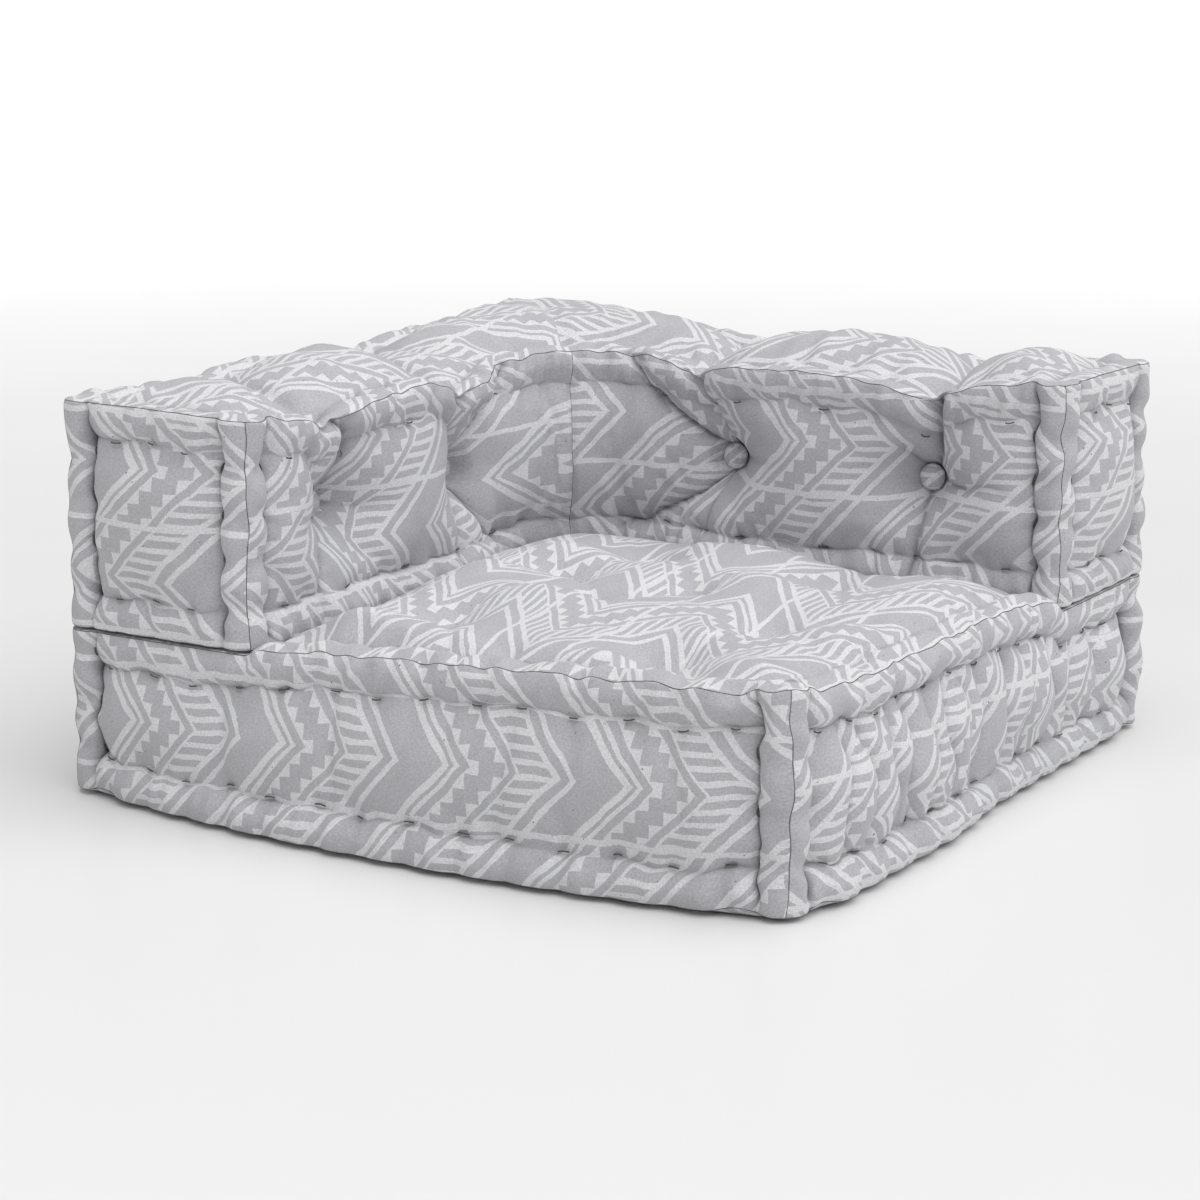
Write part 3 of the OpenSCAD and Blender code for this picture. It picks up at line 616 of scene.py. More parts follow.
def seat_parts(rng):
    """The seat's shell, points, print plan, holds, painted crease shade, stitches and upright
    seams.
    """
    lines = spaced(2 * HALF, SEAT_STEP) - HALF
    n = len(lines) - 1
    x, y = np.meshgrid(lines, lines, indexing="ij")
    shell = Shell(n, n, SEAT_ROWS)
    ri, rj = shell.rim.T
    rx, ry = lines[ri], lines[rj]
    side = shell.side          # 0 front, 1 right, 2 rear, 3 left
    place = np.choose(side, [rx + HALF, ry + HALF, HALF - rx, HALF - ry])
    out = np.array([(0, -1), (1, 0), (0, 1), (-1, 0)], float)[side]
    stitches = [stitch_places(2 * HALF, PITCH, rng) for _ in range(4)]

    # Top: pillows where it is open, flat under the back
    edges = [y + HALF, HALF - x, HALF - y, x + HALF]
    front = along(x, SEAT_FRONT) - seam_wave(x + HALF, stitches[0]) * ease((x + 0.24) / 0.05)
    right = along(y, SEAT_RIGHT) - seam_wave(y + HALF, stitches[1]) * ease((0.22 - y) / 0.05)
    seam = seat_edge(x, y, front, right)
    by_left, by_rear = x + HALF - ARM, HALF - ARM - y
    open_by = np.minimum(by_left, by_rear)
    meet = np.where(by_left < by_rear, along(y, MEET_LEFT), along(x, MEET_REAR))
    swell = SEAT_SWELL + 1.15 * sum(h * hill(x - a, w) * hill(y - b, v)
                                    for a, b, w, v, h in PILLOWS)
    swell = swell - 1.2 * sum(d * hill(np.hypot(x - a, y - b), w) for a, b, w, d in HOLLOWS)
    for valley in VALLEYS:
        swell = swell - crease(x, y, valley, 0.016)[0]
    swell = swell + 0.0022 * wrinkles(x, y, rng, 0.12, 0.30)
    middle = SEAT_LAIN + (meet - SEAT_LAIN) * ease(open_by / 0.016)
    middle = middle + (swell - meet) * ease(open_by / 0.11)
    edge = np.min(edges, axis=0)
    top_near = [near_stitch(t, s) for t, s in
                zip([x + HALF, y + HALF, HALF - x, HALF - y], stitches)]
    free = ease((open_by + 0.02) / 0.06)
    relief, creased_top = panel_relief(edges, top_near, 0.0, level_share=0.5)
    top_z = seam + (middle - seam) * ease((edge - 0.030) / 0.055)
    top_z = top_z - relief * (0.25 + 0.75 * free) + 0.003 * hill(edge - 0.02, 0.012)
    top_z = np.where(open_by < 0, np.minimum(top_z, SEAT_LAIN + 0.0003), top_z)
    drawn = [drawn_close(e) * (open_by > 0) for e in edges]
    box = [(cx, cy, -np.sign(cx), -np.sign(cy)) for cx in (-HALF, HALF) for cy in (-HALF, HALF)]
    corner_x, corner_y = round_corners(x, y, box)
    top = np.stack([x + drawn[3] - drawn[1] + corner_x, y + drawn[0] - drawn[2] + corner_y, top_z],
                   -1)

    # Walls: they bow outwards, and the feet of their upright rolls hang below the base roll
    long_bow, short_bow = (1 - np.abs(v / 0.47).clip(0, 1) ** 2.2 for v in (rx, ry))
    bow = np.choose(side, [SEAT_BOW_FRONT * long_bow, along(ry, SEAT_BOW_RIGHT),
                           SEAT_BOW_REAR * long_bow, SEAT_BOW_LEFT * short_bow])
    to_end = 2 * HALF - place
    low = 0.006 + 0.009 * hill(np.minimum(place, to_end) - 0.058, 0.020)
    down, up, level, t = shell.wall_rows(top_z[ri, rj], low)
    wall_edges = [down, up, place + 0 * t, to_end + 0 * t]
    near_along = np.choose(side, [near_stitch(place, s) for s in stitches])
    upright = near_stitch(level, SEAT_HEIGHTS)
    nears = [near_along, near_along, upright, upright]
    soft = np.choose(side, SEAT_SOFT) * uneven(place)
    inset, creased_walls = panel_relief(wall_edges, nears, 0.010, (2, 3), soft)
    middle_wall = ease((down - 0.030) / 0.03) * ease((up - 0.030) / 0.03)
    on_right = (side == 1) * middle_wall
    pleated = np.zeros_like(inset)
    for at, deep in PLEATS_RIGHT:
        lean = 0.020 * math.sin(at * 91)
        gone = place - at - lean * (t - 0.5) - 0.006 * np.sin(level * 60 + at * 40)
        inset += on_right * deep * 1.7 * cusp(gone, 0.012)
        pleated -= on_right * 0.9 * gone * hill(gone, 0.0080) * min(1.0, deep / 0.010)
        # Painted shade along the crease of each pleat
        creased_walls = np.maximum(creased_walls, on_right * 40 * deep * hill(gone, 0.004))
    inset -= on_right * 0.005
    for at, deep in PLEATS_FRONT:
        lean = 0.03 * math.sin(at * 37)
        inset += (side == 0) * middle_wall * deep * cusp(place - at - lean * (t - 0.5), 0.020)
    inset += middle_wall * 0.0025 * ripple(place + side * 3, level, rng, 9, 0.09, 0.22)
    inset += middle_wall * 0.0022 * wrinkles(place + side * 3, level, rng, 0.10, 0.24)
    apart = ease((np.minimum(place, to_end) - 0.035) / 0.015)
    inset += 0.0032 * apart * gathers([down, up], place + side * 1.3, rng)
    # The base roll hangs out between its stitches
    scallop = 0.006 * (1 - near_along) * hill(up - 0.012, 0.03) * apart
    off = post_shift(*wall_edges[2:], down, up) + pleated
    walls = wall_points(np.stack([rx, ry], -1), out, bow * t ** 1.1 + scallop - inset, off,
                        level + level_shift(*wall_edges), shell.starts, down)

    # Base, flat on the floor, with a dimple at each tuft
    wide = [np.interp(v, axis[side == k][::step], bow[side == k][::step])
            for k, v, axis, step in ((0, x, rx, 1), (1, y, ry, 1), (2, x, rx, -1), (3, y, ry, -1))]
    bx = x + corner_x - wide[3] + (wide[1] + wide[3]) * (x + HALF) / (2 * HALF)
    by = y + corner_y - wide[0] + (wide[2] + wide[0]) * (y + HALF) / (2 * HALF)
    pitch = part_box("seat_base_knots")[1].x - KNOT_RADIUS
    knot = np.hypot(*(v - pitch * np.clip(np.round(v / pitch), -1, 1) for v in (bx, by)))
    base_z = 0.007 * (1 - ease(edge / 0.022)) + 0.005 * hill(edge - ROLL, 0.007)
    base_z = base_z + 0.015 * (1 - ease((knot - 0.010) / 0.016))
    points = shell.points(top, walls, np.stack([bx, by, base_z], -1))

    hold_top = np.maximum(held(edges, top_near, between=open_by > 0), open_by < -0.006)
    for a, b, _, _ in HOLLOWS:
        hold_top = np.maximum(hold_top, np.hypot(x - a, y - b) < TUFT_HOLDS)
    hold = shell.values(hold_top, held(wall_edges, nears, (2, 3)), np.ones_like(x))
    # Painted shade in the creases of the top and the walls, none on the base
    creased = shell.values(creased_top * free, creased_walls, 0 * x)

    line, slope = np.array(SEAT_LINE)[side].T

    def print_place(at, z):
        """Print coordinates on the walls. The rows lie level, upside down on the right wall."""
        turned = np.where(side == 1, -1.0, 1.0)
        u = np.choose(side, [along(at, table) for table in SEAT_PRINT])
        return u, BARE_MIDDLE * PRINT_Q + turned * (z - line) - slope * (at - HALF)

    on_top = np.stack([y, x], -1) * SEAT_TOP_STRETCH + SEAT_TOP_PLACE
    prints = [grid_corners(on_top), grid_corners(np.stack([x, y], -1), flip=True),
              wall_prints(print_place, place, 2 * HALF, level)]
    marks = wall_marks(shell, place, level, stitches, SEAT_HEIGHTS, wall_edges[:2],
                       [wall_edges[2:]] * 4)
    return shell, points, prints, hold, creased, marks, shell.starts


BUTTON_CLEAR = 0.0225  # radius round a button's middle in which the cover stays behind it
BUTTON_SHOWS = 0.001   # of a button's rim that sinks into the cover
SETBACK = 0.030        # of the inner wall beside the corner
CORNER_R = 0.100       # of the round inner corner
BEND_FROM = 0.0        # y at which the left arm's wall starts to set back
# Seam heights along the inner edge of each arm, from its end to the corner
INNER_LEFT = [(0.0, 0.486), (0.04, 0.484), (0.10, 0.476), (0.165, 0.461), (0.21, 0.468),
              (0.28, 0.481), (0.35, 0.484), (0.41, 0.476), (0.465, 0.459), (0.51, 0.466),
              (0.58, 0.477), (0.66, 0.480), (0.74, 0.480)]
INNER_REAR = [(0.0, 0.494), (0.05, 0.492), (0.10, 0.488), (0.15, 0.476), (0.185, 0.464),
              (0.235, 0.470), (0.30, 0.481), (0.38, 0.485), (0.47, 0.480), (0.535, 0.466),
              (0.57, 0.471), (0.62, 0.479), (0.66, 0.480), (0.74, 0.480)]
OUTER_LEFT = [(0.0, 0.490), (0.17, 0.486), (0.25, 0.484), (0.32, 0.491), (0.42, 0.490),
              (0.52, 0.482), (0.58, 0.474), (0.65, 0.486), (0.76, 0.491), (0.90, 0.491),
              (1.0, 0.489)]
OUTER_REAR = [(0.0, 0.490), (0.08, 0.488), (0.16, 0.482), (0.215, 0.471), (0.30, 0.483),
              (0.42, 0.485), (0.48, 0.480), (0.53, 0.473), (0.60, 0.484), (0.70, 0.491),
              (0.84, 0.493), (1.0, 0.489)]
# Creases of the inner walls from each button, as (along the arm from its end, height, depth)
FOLDS_LEFT = [
    [(0.210, 0.350, 0.026), (0.226, 0.385, 0.026), (0.231, 0.420, 0.024), (0.212, 0.450, 0.020),
     (0.170, 0.472, 0.014)],
    [(0.210, 0.350, 0.018), (0.165, 0.385, 0.010), (0.110, 0.430, 0.003)],
    [(0.210, 0.350, 0.024), (0.180, 0.310, 0.018), (0.158, 0.270, 0.013), (0.153, 0.225, 0.007)],
    [(0.210, 0.350, 0.016), (0.140, 0.340, 0.005), (0.100, 0.335, 0.0)],
    [(0.210, 0.350, 0.014), (0.260, 0.345, 0.006), (0.300, 0.350, 0.0)],
    [(0.500, 0.350, 0.026), (0.464, 0.380, 0.022), (0.453, 0.419, 0.020), (0.472, 0.468, 0.014)],
    [(0.500, 0.350, 0.026), (0.522, 0.387, 0.026), (0.567, 0.431, 0.022), (0.615, 0.472, 0.014)],
    [(0.500, 0.350, 0.024), (0.480, 0.310, 0.018), (0.470, 0.285, 0.014), (0.462, 0.236, 0.008)],
    [(0.500, 0.350, 0.024), (0.525, 0.302, 0.020), (0.556, 0.262, 0.016), (0.590, 0.240, 0.010)],
    [(0.500, 0.350, 0.014), (0.450, 0.358, 0.005), (0.410, 0.360, 0.0)]]
FOLDS_REAR = [
    [(0.210, 0.350, 0.026), (0.191, 0.385, 0.026), (0.185, 0.425, 0.024), (0.178, 0.474, 0.018)],
    [(0.210, 0.350, 0.022), (0.207, 0.300, 0.018), (0.210, 0.250, 0.014), (0.213, 0.218, 0.008)],
    [(0.210, 0.350, 0.018), (0.138, 0.349, 0.010), (0.075, 0.366, 0.0)],
    [(0.210, 0.350, 0.018), (0.228, 0.380, 0.012), (0.245, 0.397, 0.0)],
    [(0.500, 0.350, 0.026), (0.550, 0.380, 0.026), (0.610, 0.425, 0.024), (0.650, 0.472, 0.014)],
    [(0.500, 0.350, 0.024), (0.550, 0.302, 0.022), (0.612, 0.268, 0.018), (0.664, 0.240, 0.010)],
    [(0.500, 0.350, 0.022), (0.506, 0.402, 0.018), (0.528, 0.440, 0.016), (0.544, 0.474, 0.014)],
    [(0.500, 0.350, 0.016), (0.515, 0.295, 0.010), (0.528, 0.236, 0.005)],
    [(0.500, 0.350, 0.014), (0.450, 0.356, 0.006), (0.400, 0.352, 0.0)]]
# Valleys across the top, from an inner to an outer notch, along the grid of the arm
NOTCHES_LEFT = [(0.165, 0.250), (0.465, 0.537)]
NOTCHES_REAR = [(0.185, 0.210), (0.540, 0.550)]
FOLD_WIDTH = 0.010     # of the creases of the inner walls
# For the inner wall, right end, outer wall and front end: how far the middle swells, and how
# deep the level creases are at the top and at the base
BACK_BELLY = [0.006, 0.014, 0.006, 0.014]
BACK_SOFT_TOP, BACK_SOFT_BASE = [0.35, 0.65, 1.0, 0.50], [0.90, 0.80, 1.0, 0.65]
BACK_HEIGHTS = [0.262, 0.317, 0.372, 0.427]  # of the stitches up the back's upright rolls
END_STITCHES = [0.085, 0.14, 0.195]          # places of the stitches across each end
# Width of the back's quads along an arm, round the corner and across, and rows of its walls
BACK_STEP, BEND_STEP, ACROSS_STEP, BACK_ROWS = 0.0074, 0.0052, 0.0078, 40


def inner_path(count=4000):
    """The inner outline from the left arm's end to the rear arm's end, with its lengths."""
    face = ARM - HALF
    bend = np.linspace(BEND_FROM, -face - 0.07, 60)
    left = [(face, -HALF), *[(face - SETBACK * ease((b - BEND_FROM) / 0.10), b) for b in bend]]
    centre = face - SETBACK + CORNER_R
    turns = np.radians(np.linspace(180, 135, 40))
    left += [(centre + CORNER_R * math.cos(a), -centre + CORNER_R * math.sin(a)) for a in turns]
    left = np.array(left)
    path = np.vstack([left, -left[-2::-1, ::-1]])
    far = np.concatenate([[0], np.cumsum(np.hypot(*np.diff(path, axis=0).T))])
    fine = np.linspace(0, far[-1], count)
    return fine, np.stack([np.interp(fine, far, path[:, k]) for k in (0, 1)], -1)


def sewn_folds(left, arm_place, level, button):
    """Folds of the inner walls: depth, painted crease shade and hold, and how far their two sides
    are drawn together along and up the wall. button is the distance to the nearest button.
    """
    inset, creased, firm, folded, fold_a, fold_b = np.zeros((6, *level.shape))
    for folds, on in ((FOLDS_LEFT, left), (FOLDS_REAR, ~left)):
        for fold in folds:
            deep, to_a, to_b = crease(arm_place, level, fold, FOLD_WIDTH)
            deep = deep * on
            close = np.hypot(to_a, to_b)
            inset += (1 - 0.75 * hill(button, 0.034)) * 1.35 * deep
            # Painted shade along the fold's crease
            creased = np.maximum(creased, np.clip(deep / 0.016, 0, 1) * hill(close, CREASE))
            firm = np.maximum(firm, 0.5 * (deep > 0.009) * (close < CREASE))
            share = 0.85 * hill(close, DRAWN) * ease((button - 0.018) / 0.012)
            fold_a, fold_b = (np.where(deep > folded, share * to, old)
                              for to, old in ((to_a, fold_a), (to_b, fold_b)))
            folded = np.maximum(folded, deep)
    begun = np.clip(folded / 0.006, 0, 1)
    return inset, creased, firm, fold_a * np.where(left, 1.0, -1.0) * begun, fold_b * begun


def back_parts(rng):
    """The back's shell, points, print plan, holds, painted crease shade, stitches and upright
    seams.
    """
    far, path = inner_path()
    length = far[-1]
    half_run = length / 2
    # Columns, closer together round the inner corner
    arm_run = HALF + BEND_FROM
    run = spaced(2 * arm_run, BACK_STEP)
    bend = np.linspace(arm_run, half_run, round((half_run - arm_run) / BEND_STEP) + 1)
    lines = np.concatenate([run[run < arm_run - 0.003], bend])
    lines = np.concatenate([lines, length - lines[-2::-1]])
    nu = len(lines) - 1
    tangent = np.gradient(path, far, axis=0)
    inner = np.stack([np.interp(lines, far, path[:, k]) for k in (0, 1)], -1)
    into = np.stack([np.interp(lines, far, v) for v in (-tangent[:, 1], tangent[:, 0])], -1)
    into /= np.linalg.norm(into, axis=1, keepdims=True)
    # Distance of each column from its arm's end, along the inner and along the outer wall
    inner_rest, outer_rest = half_run - arm_run, 2 * HALF - arm_run
    own = np.minimum(lines, length - lines)
    outer_own = np.where(own <= arm_run, own, arm_run + outer_rest * (own - arm_run) / inner_rest)
    left = lines <= half_run + 1e-9
    outer = np.where(left[:, None], np.stack([-HALF + 0 * own, outer_own - HALF], -1),
                     np.stack([HALF - outer_own, HALF + 0 * own], -1))
    # Rows, from the inner to the outer wall; only the middle ones widen at the corner
    across = spaced(ARM, ACROSS_STEP)[None, :]
    reach = np.linalg.norm(outer - inner, axis=1)[:, None]
    mid_share = np.clip((across - ROLL_ZONE) / (ARM - 2 * ROLL_ZONE), 0, 1)
    d_in = np.select([across > ARM - ROLL_ZONE, across > ROLL_ZONE],
                     [reach + (across - ARM), ROLL_ZONE + mid_share * (reach - 2 * ROLL_ZONE)],
                     across)
    share = d_in / reach
    x, y = np.moveaxis(inner[:, None] + share[..., None] * (outer - inner)[:, None], -1, 0)
    left2 = np.broadcast_to(left[:, None], x.shape)

    def notched(end, width):
        """1 where a seam is drawn in at a notch of its arm; end 0 is the inner seam."""
        return np.where(left, *(cusp(nearest(own, [n[end] for n in notches]), width)
                                for notches in (NOTCHES_LEFT, NOTCHES_REAR)))

    notch_in, notch_out = notched(0, 0.016), notched(1, 0.018)
    inner_st = stitch_places(half_run, INNER_PITCH, rng, 0.075)
    outer_st = stitch_places(2 * HALF, PITCH, rng, 0.075)
    seam_in = np.where(left, along(own, INNER_LEFT), along(own, INNER_REAR))
    seam_in = seam_in - 0.011 * notch_in - seam_wave(own, inner_st)
    seam_out = np.where(left, along(outer_own, OUTER_LEFT), along(outer_own, OUTER_REAR))
    seam_out = seam_out - 0.006 * notch_out - seam_wave(outer_own, outer_st)
    shell = Shell(nu, across.size - 1, BACK_ROWS)
    ri, rj = shell.rim.T
    side = shell.side          # 0 inner, 1 right end, 2 outer, 3 front end

    # Top: a crown, with valleys from notch to notch
    own2 = own[:, None]
    d_end = own2 + share * (outer_own[:, None] - own2)
    edges = [d_in, reach - d_in, np.where(left2, d_end, FAR), np.where(left2, FAR, d_end)]
    seam = seam_in[:, None] * (1 - share) + seam_out[:, None] * share
    valley, slot = np.zeros((2, *x.shape))
    for notches, on in ((NOTCHES_LEFT, left2), (NOTCHES_REAR, ~left2)):
        for a, b in notches:
            b_own = b if b <= arm_run else arm_run + (b - arm_run) * inner_rest / outer_rest
            off = own2 - (a + (b_own - a) * share)
            valley = np.maximum(valley, on * cusp(off, 0.050))
            slot = np.maximum(slot, on * cusp(off, 0.014))
    n_end = near_stitch(d_in, END_STITCHES)
    nears_top = [near_stitch(own, inner_st)[:, None], near_stitch(outer_own, outer_st)[:, None],
                 n_end, n_end]
    relief, creased_top = panel_relief(edges, nears_top, 0.0, level_share=0.65)
    edge = np.min(edges, axis=0)
    crown = 0.026 * ease((edge - 0.030) / 0.085) * (1 - 0.62 * valley)
    big = hill(np.hypot(x + 0.33, y - 0.33), 0.16)
    top_z = seam + crown * (1 + 0.10 * big) - relief * 0.8
    top_z = top_z - 0.015 * slot * ease((edge - 0.01) / 0.03) + 0.002 * hill(edge - 0.018, 0.012)
    # The mitre between the two arms
    top_z = top_z - 0.004 * hill(x + y, 0.012) * ease((edge - 0.02) / 0.02) * (x < -0.1)
    top_z = top_z + 0.0022 * ripple(x, y, rng, 9, 0.07, 0.16) * ease(edge / 0.05)
    face = ARM - HALF
    box = [(face, -HALF, -1, 1), (-HALF, -HALF, 1, 1), (-HALF, HALF, 1, -1), (HALF, HALF, -1, -1),
           (HALF, -face, -1, 1)]
    corner_x, corner_y = round_corners(x, y, box)
    x_in, y_in = x + corner_x, y + corner_y

    # Walls; the outer side has a corner at its middle, where the two outer walls meet
    on_inner, on_outer, left_rim = side == 0, side == 2, left[ri]
    rim_own, rim_outer = own[ri], outer_own[ri]
    place = np.choose(side, [lines[ri], d_in[ri, rj], np.where(
        left_rim, 4 * HALF - rim_outer, rim_outer), reach[0] - d_in[ri, rj]])
    run_length = np.choose(side, [length, reach[-1], 4 * HALF, reach[0]])
    outwards = np.where(left_rim[:, None], (-1, 0), (0, 1))
    out = np.choose(side[:, None], [-into[ri], (1, 0), outwards, (0, -1)])
    down, up, level, t = shell.wall_rows(top_z[ri, rj], BACK_LOW + 0.001)
    from_start, to_end = place + 0 * t, run_length - place + 0 * t
    to_corner = np.where(on_outer, np.abs(place - 2 * HALF), FAR) + 0 * t
    wall_edges = [down, up, from_start, to_end, to_corner]
    near_end = near_stitch(place, END_STITCHES)
    near_along = np.choose(side, [near_stitch(rim_own, inner_st), near_end,
                                  near_stitch(rim_outer, outer_st), near_end])
    upright = near_stitch(level, BACK_HEIGHTS)
    nears = [near_along, near_along, upright, upright, upright]
    belly = np.choose(side, BACK_BELLY)
    soft = np.where(down < up, np.choose(side, BACK_SOFT_TOP),
                    np.choose(side, BACK_SOFT_BASE)) * uneven(place)
    inset, creased_walls = panel_relief(wall_edges, nears, belly, (2, 3, 4), soft)
    # Hollows at the buttons, and folds that run from them
    arm_place = np.where(on_inner, rim_own, rim_outer)
    tufts = [HALF + tuft for tuft in TUFTS_Y]
    button = np.full(level.shape, FAR)
    for at in tufts:
        r = np.hypot(arm_place - at, level - TUFT_Z)
        button = np.minimum(button, r)
        wide = 0.034 * hill(r, 0.066) + 0.028 * cusp(np.maximum(r - 0.016, 0), 0.024)
        inset += on_inner * wide * (ARM - HALF - TUFT_X - 0.004) / 0.060 + on_outer * 0.62 * wide
    sunk, creased_folds, firm_folds, fold_a, fold_b = sewn_folds(
        left_rim, arm_place, level, button)
    inset += on_inner * sunk
    # Painted shade along the folds' creases
    creased_walls = np.maximum(creased_walls, on_inner * creased_folds)
    for at, lean in zip(tufts, (0.10, -0.12)):
        fold = [(at + lean * 0.4, 0.474, 0.012), (at, TUFT_Z, 0.018),
                (at - lean * 0.3, 0.240, 0.006)]
        inset += on_outer * crease(arm_place, level, fold, 0.012)[0] * 0.8
    # The round corner swells, and its seam draws in a little
    middle_wall = ease((down - 0.02) / 0.03) * ease((up - 0.02) / 0.03)
    from_corner = lines[ri] - half_run
    inset -= on_inner * hill(from_corner, 0.10) * 0.010 * ease((down - 0.03) / 0.06) * ease(
        (up - 0.03) / 0.06)
    inset += on_inner * hill(from_corner, 0.006) * 0.004 * middle_wall
    inset += middle_wall * 0.0022 * ripple(place + side * 3, level, rng, 9, 0.07, 0.18)
    # Notches draw the top seam in as well as down
    drawn = np.select([on_inner, on_outer], [notch_in[ri], notch_out[ri]], 0.0)
    inset += drawn * 0.012 * (1 - ease(down / 0.10))
    apart = ease((np.minimum(place, run_length - place) - 0.035) / 0.015)
    inset += middle_wall * 0.0020 * wrinkles(place + side * 3, level, rng, 0.10, 0.24)
    inset += 0.0030 * apart * gathers([down, up], place + side * 1.3, rng)
    scallop = 0.003 * (1 - near_along) * hill(up - 0.012, 0.03) * apart
    off = post_shift(from_start, to_end, down, up) + on_inner * fold_a
    before = np.where(place < 2 * HALF - 1e-6, -1, 1)
    off = off + on_outer * before * post_shift(to_corner, FAR + 0 * t, down, up)
    corners = np.array([*shell.starts, shell.starts[2:].sum() // 2])
    spot = np.stack([x[ri, rj], y[ri, rj]], -1)
    walls = wall_points(spot, out, scallop - inset, off,
                        level + level_shift(*wall_edges[:4]) + on_inner * fold_b, corners, down)

    # Base, flat on the seat
    base_z = BACK_LOW + 0.001 * (1 - ease(edge / 0.024)) + 0.004 * hill(edge - ROLL, 0.007)
    points = shell.points(np.stack([x_in, y_in, top_z], -1), walls,
                          np.stack([x_in, y_in, base_z], -1))
    hold_walls = np.maximum(held(wall_edges, nears, (2, 3, 4)), on_inner * firm_folds)
    hold_walls = np.maximum(hold_walls, (on_inner | on_outer) * (button < 0.016))
    hold_walls = np.maximum(hold_walls, (drawn > 0.75) * (down < 0.004))
    hold = shell.values(held(edges, nears_top), hold_walls, np.ones_like(x))
    # Painted shade in the creases of the top and the walls, none on the base
    creased = shell.values(creased_top, creased_walls, 0 * x)

    on_left = on_inner & (np.arange(len(ri)) < nu // 2)
    on_rear = on_inner & ~on_left

    def print_place(at, z):
        """Print coordinates on the walls, from panel to panel."""
        from_rear = length - at
        panels = [on_left, on_rear, side == 1, side == 3]
        u = np.select(panels, [along(at, LEFT_PRINT), along(from_rear, REAR_PRINT),
                               0.1311 + 0.93 * at, 0.0821 + 0.927 * at], at + 0.05)
        line = np.select(panels, [along(at, LEFT_LINE), along(from_rear, REAR_LINE),
                                  0.3475, 0.3513], 0.35)
        stretch = np.where(on_left, along(at, LEFT_STRETCH), 1.0)
        return u, np.where(on_rear, 1.25, 2.25) * PRINT_Q + stretch * (z - line)

    plan_left, plan_rear = np.stack([y, -x], -1), np.stack([x, y], -1)
    top_print = np.where((np.arange(nu) < nu // 2)[:, None, None, None],
                         grid_corners(plan_left + LEFT_TOP_PLACE),
                         grid_corners(plan_rear + REAR_TOP_PLACE))
    prints = [top_print, grid_corners(plan_rear, flip=True),
              wall_prints(print_place, place, run_length, level)]
    ends = [from_start, to_end]
    places = [np.concatenate([inner_st, length - inner_st])[::2], END_STITCHES,
              np.concatenate([outer_st, 4 * HALF - outer_st]), END_STITCHES]
    marks = wall_marks(shell, place, level, places, BACK_HEIGHTS, [down, up],
                       [ends, ends, [*ends, from_start - 2 * HALF, 2 * HALF - from_start], ends])
    return shell, points, prints, hold, creased, marks, [*corners, nu // 2]


def hex_colour(code):
    """A linear colour from an sRGB hex value."""
    parts = [int(code[i:i + 2], 16) / 255 for i in (1, 3, 5)]
    return [c / 12.92 if c <= 0.04045 else ((c + 0.055) / 1.055) ** 2.4 for c in parts]


def add(tree, kind, inputs=None, **settings):
    """Add a node with its settings. An input is a value, a socket, or a node's output 0."""
    made = tree.nodes.new(kind)
    for key, value in settings.items():
        setattr(made, key, value)
    for key, value in (inputs or {}).items():
        source = value.outputs[0] if isinstance(value, bpy.types.Node) else value
        if isinstance(source, bpy.types.NodeSocket):
            tree.links.new(source, made.inputs[key])
        else:
            made.inputs[key].default_value = source
    return made


def new_material(name):
    """A material, its tree and the inputs of its shader."""
    material = bpy.data.materials.new(name)
    material.use_nodes = True
    return material, material.node_tree, material.node_tree.nodes["Principled BSDF"].inputs


MATH, VECTOR = "ShaderNodeMath", "ShaderNodeVectorMath"
# Stripes across one repeat, as (share of the repeat, plain stripe, ladder stripe)
STRIPES = [(0.0, 1, 0), (0.236, 0, 0), (0.283, 1, 0), (0.310, 0, 0), (0.343, 1, 0),
           (0.397, 0, 0), (0.617, 1, 0), (0.665, 0, 0), (0.687, 0, 1), (0.860, 0, 0),
           (0.900, 1, 0), (0.960, 0, 0)]
BLOCK_ROW = PRINT_Q / 17   # height of a step of the stepped blocks
BLOCK_MIDDLE, BLOCK_HALF = 0.51, 0.0685  # their middle and half width, in shares of the repeat
BARE_HALF = 0.0131         # half the height of a bare line, in shares of a zigzag's height
RUNG_PITCH = PRINT_Q / 18  # of the ladder stripe
RUNG_SHARE = 0.57
WANDER = 0.009             # how far the print's hand-drawn edges wander


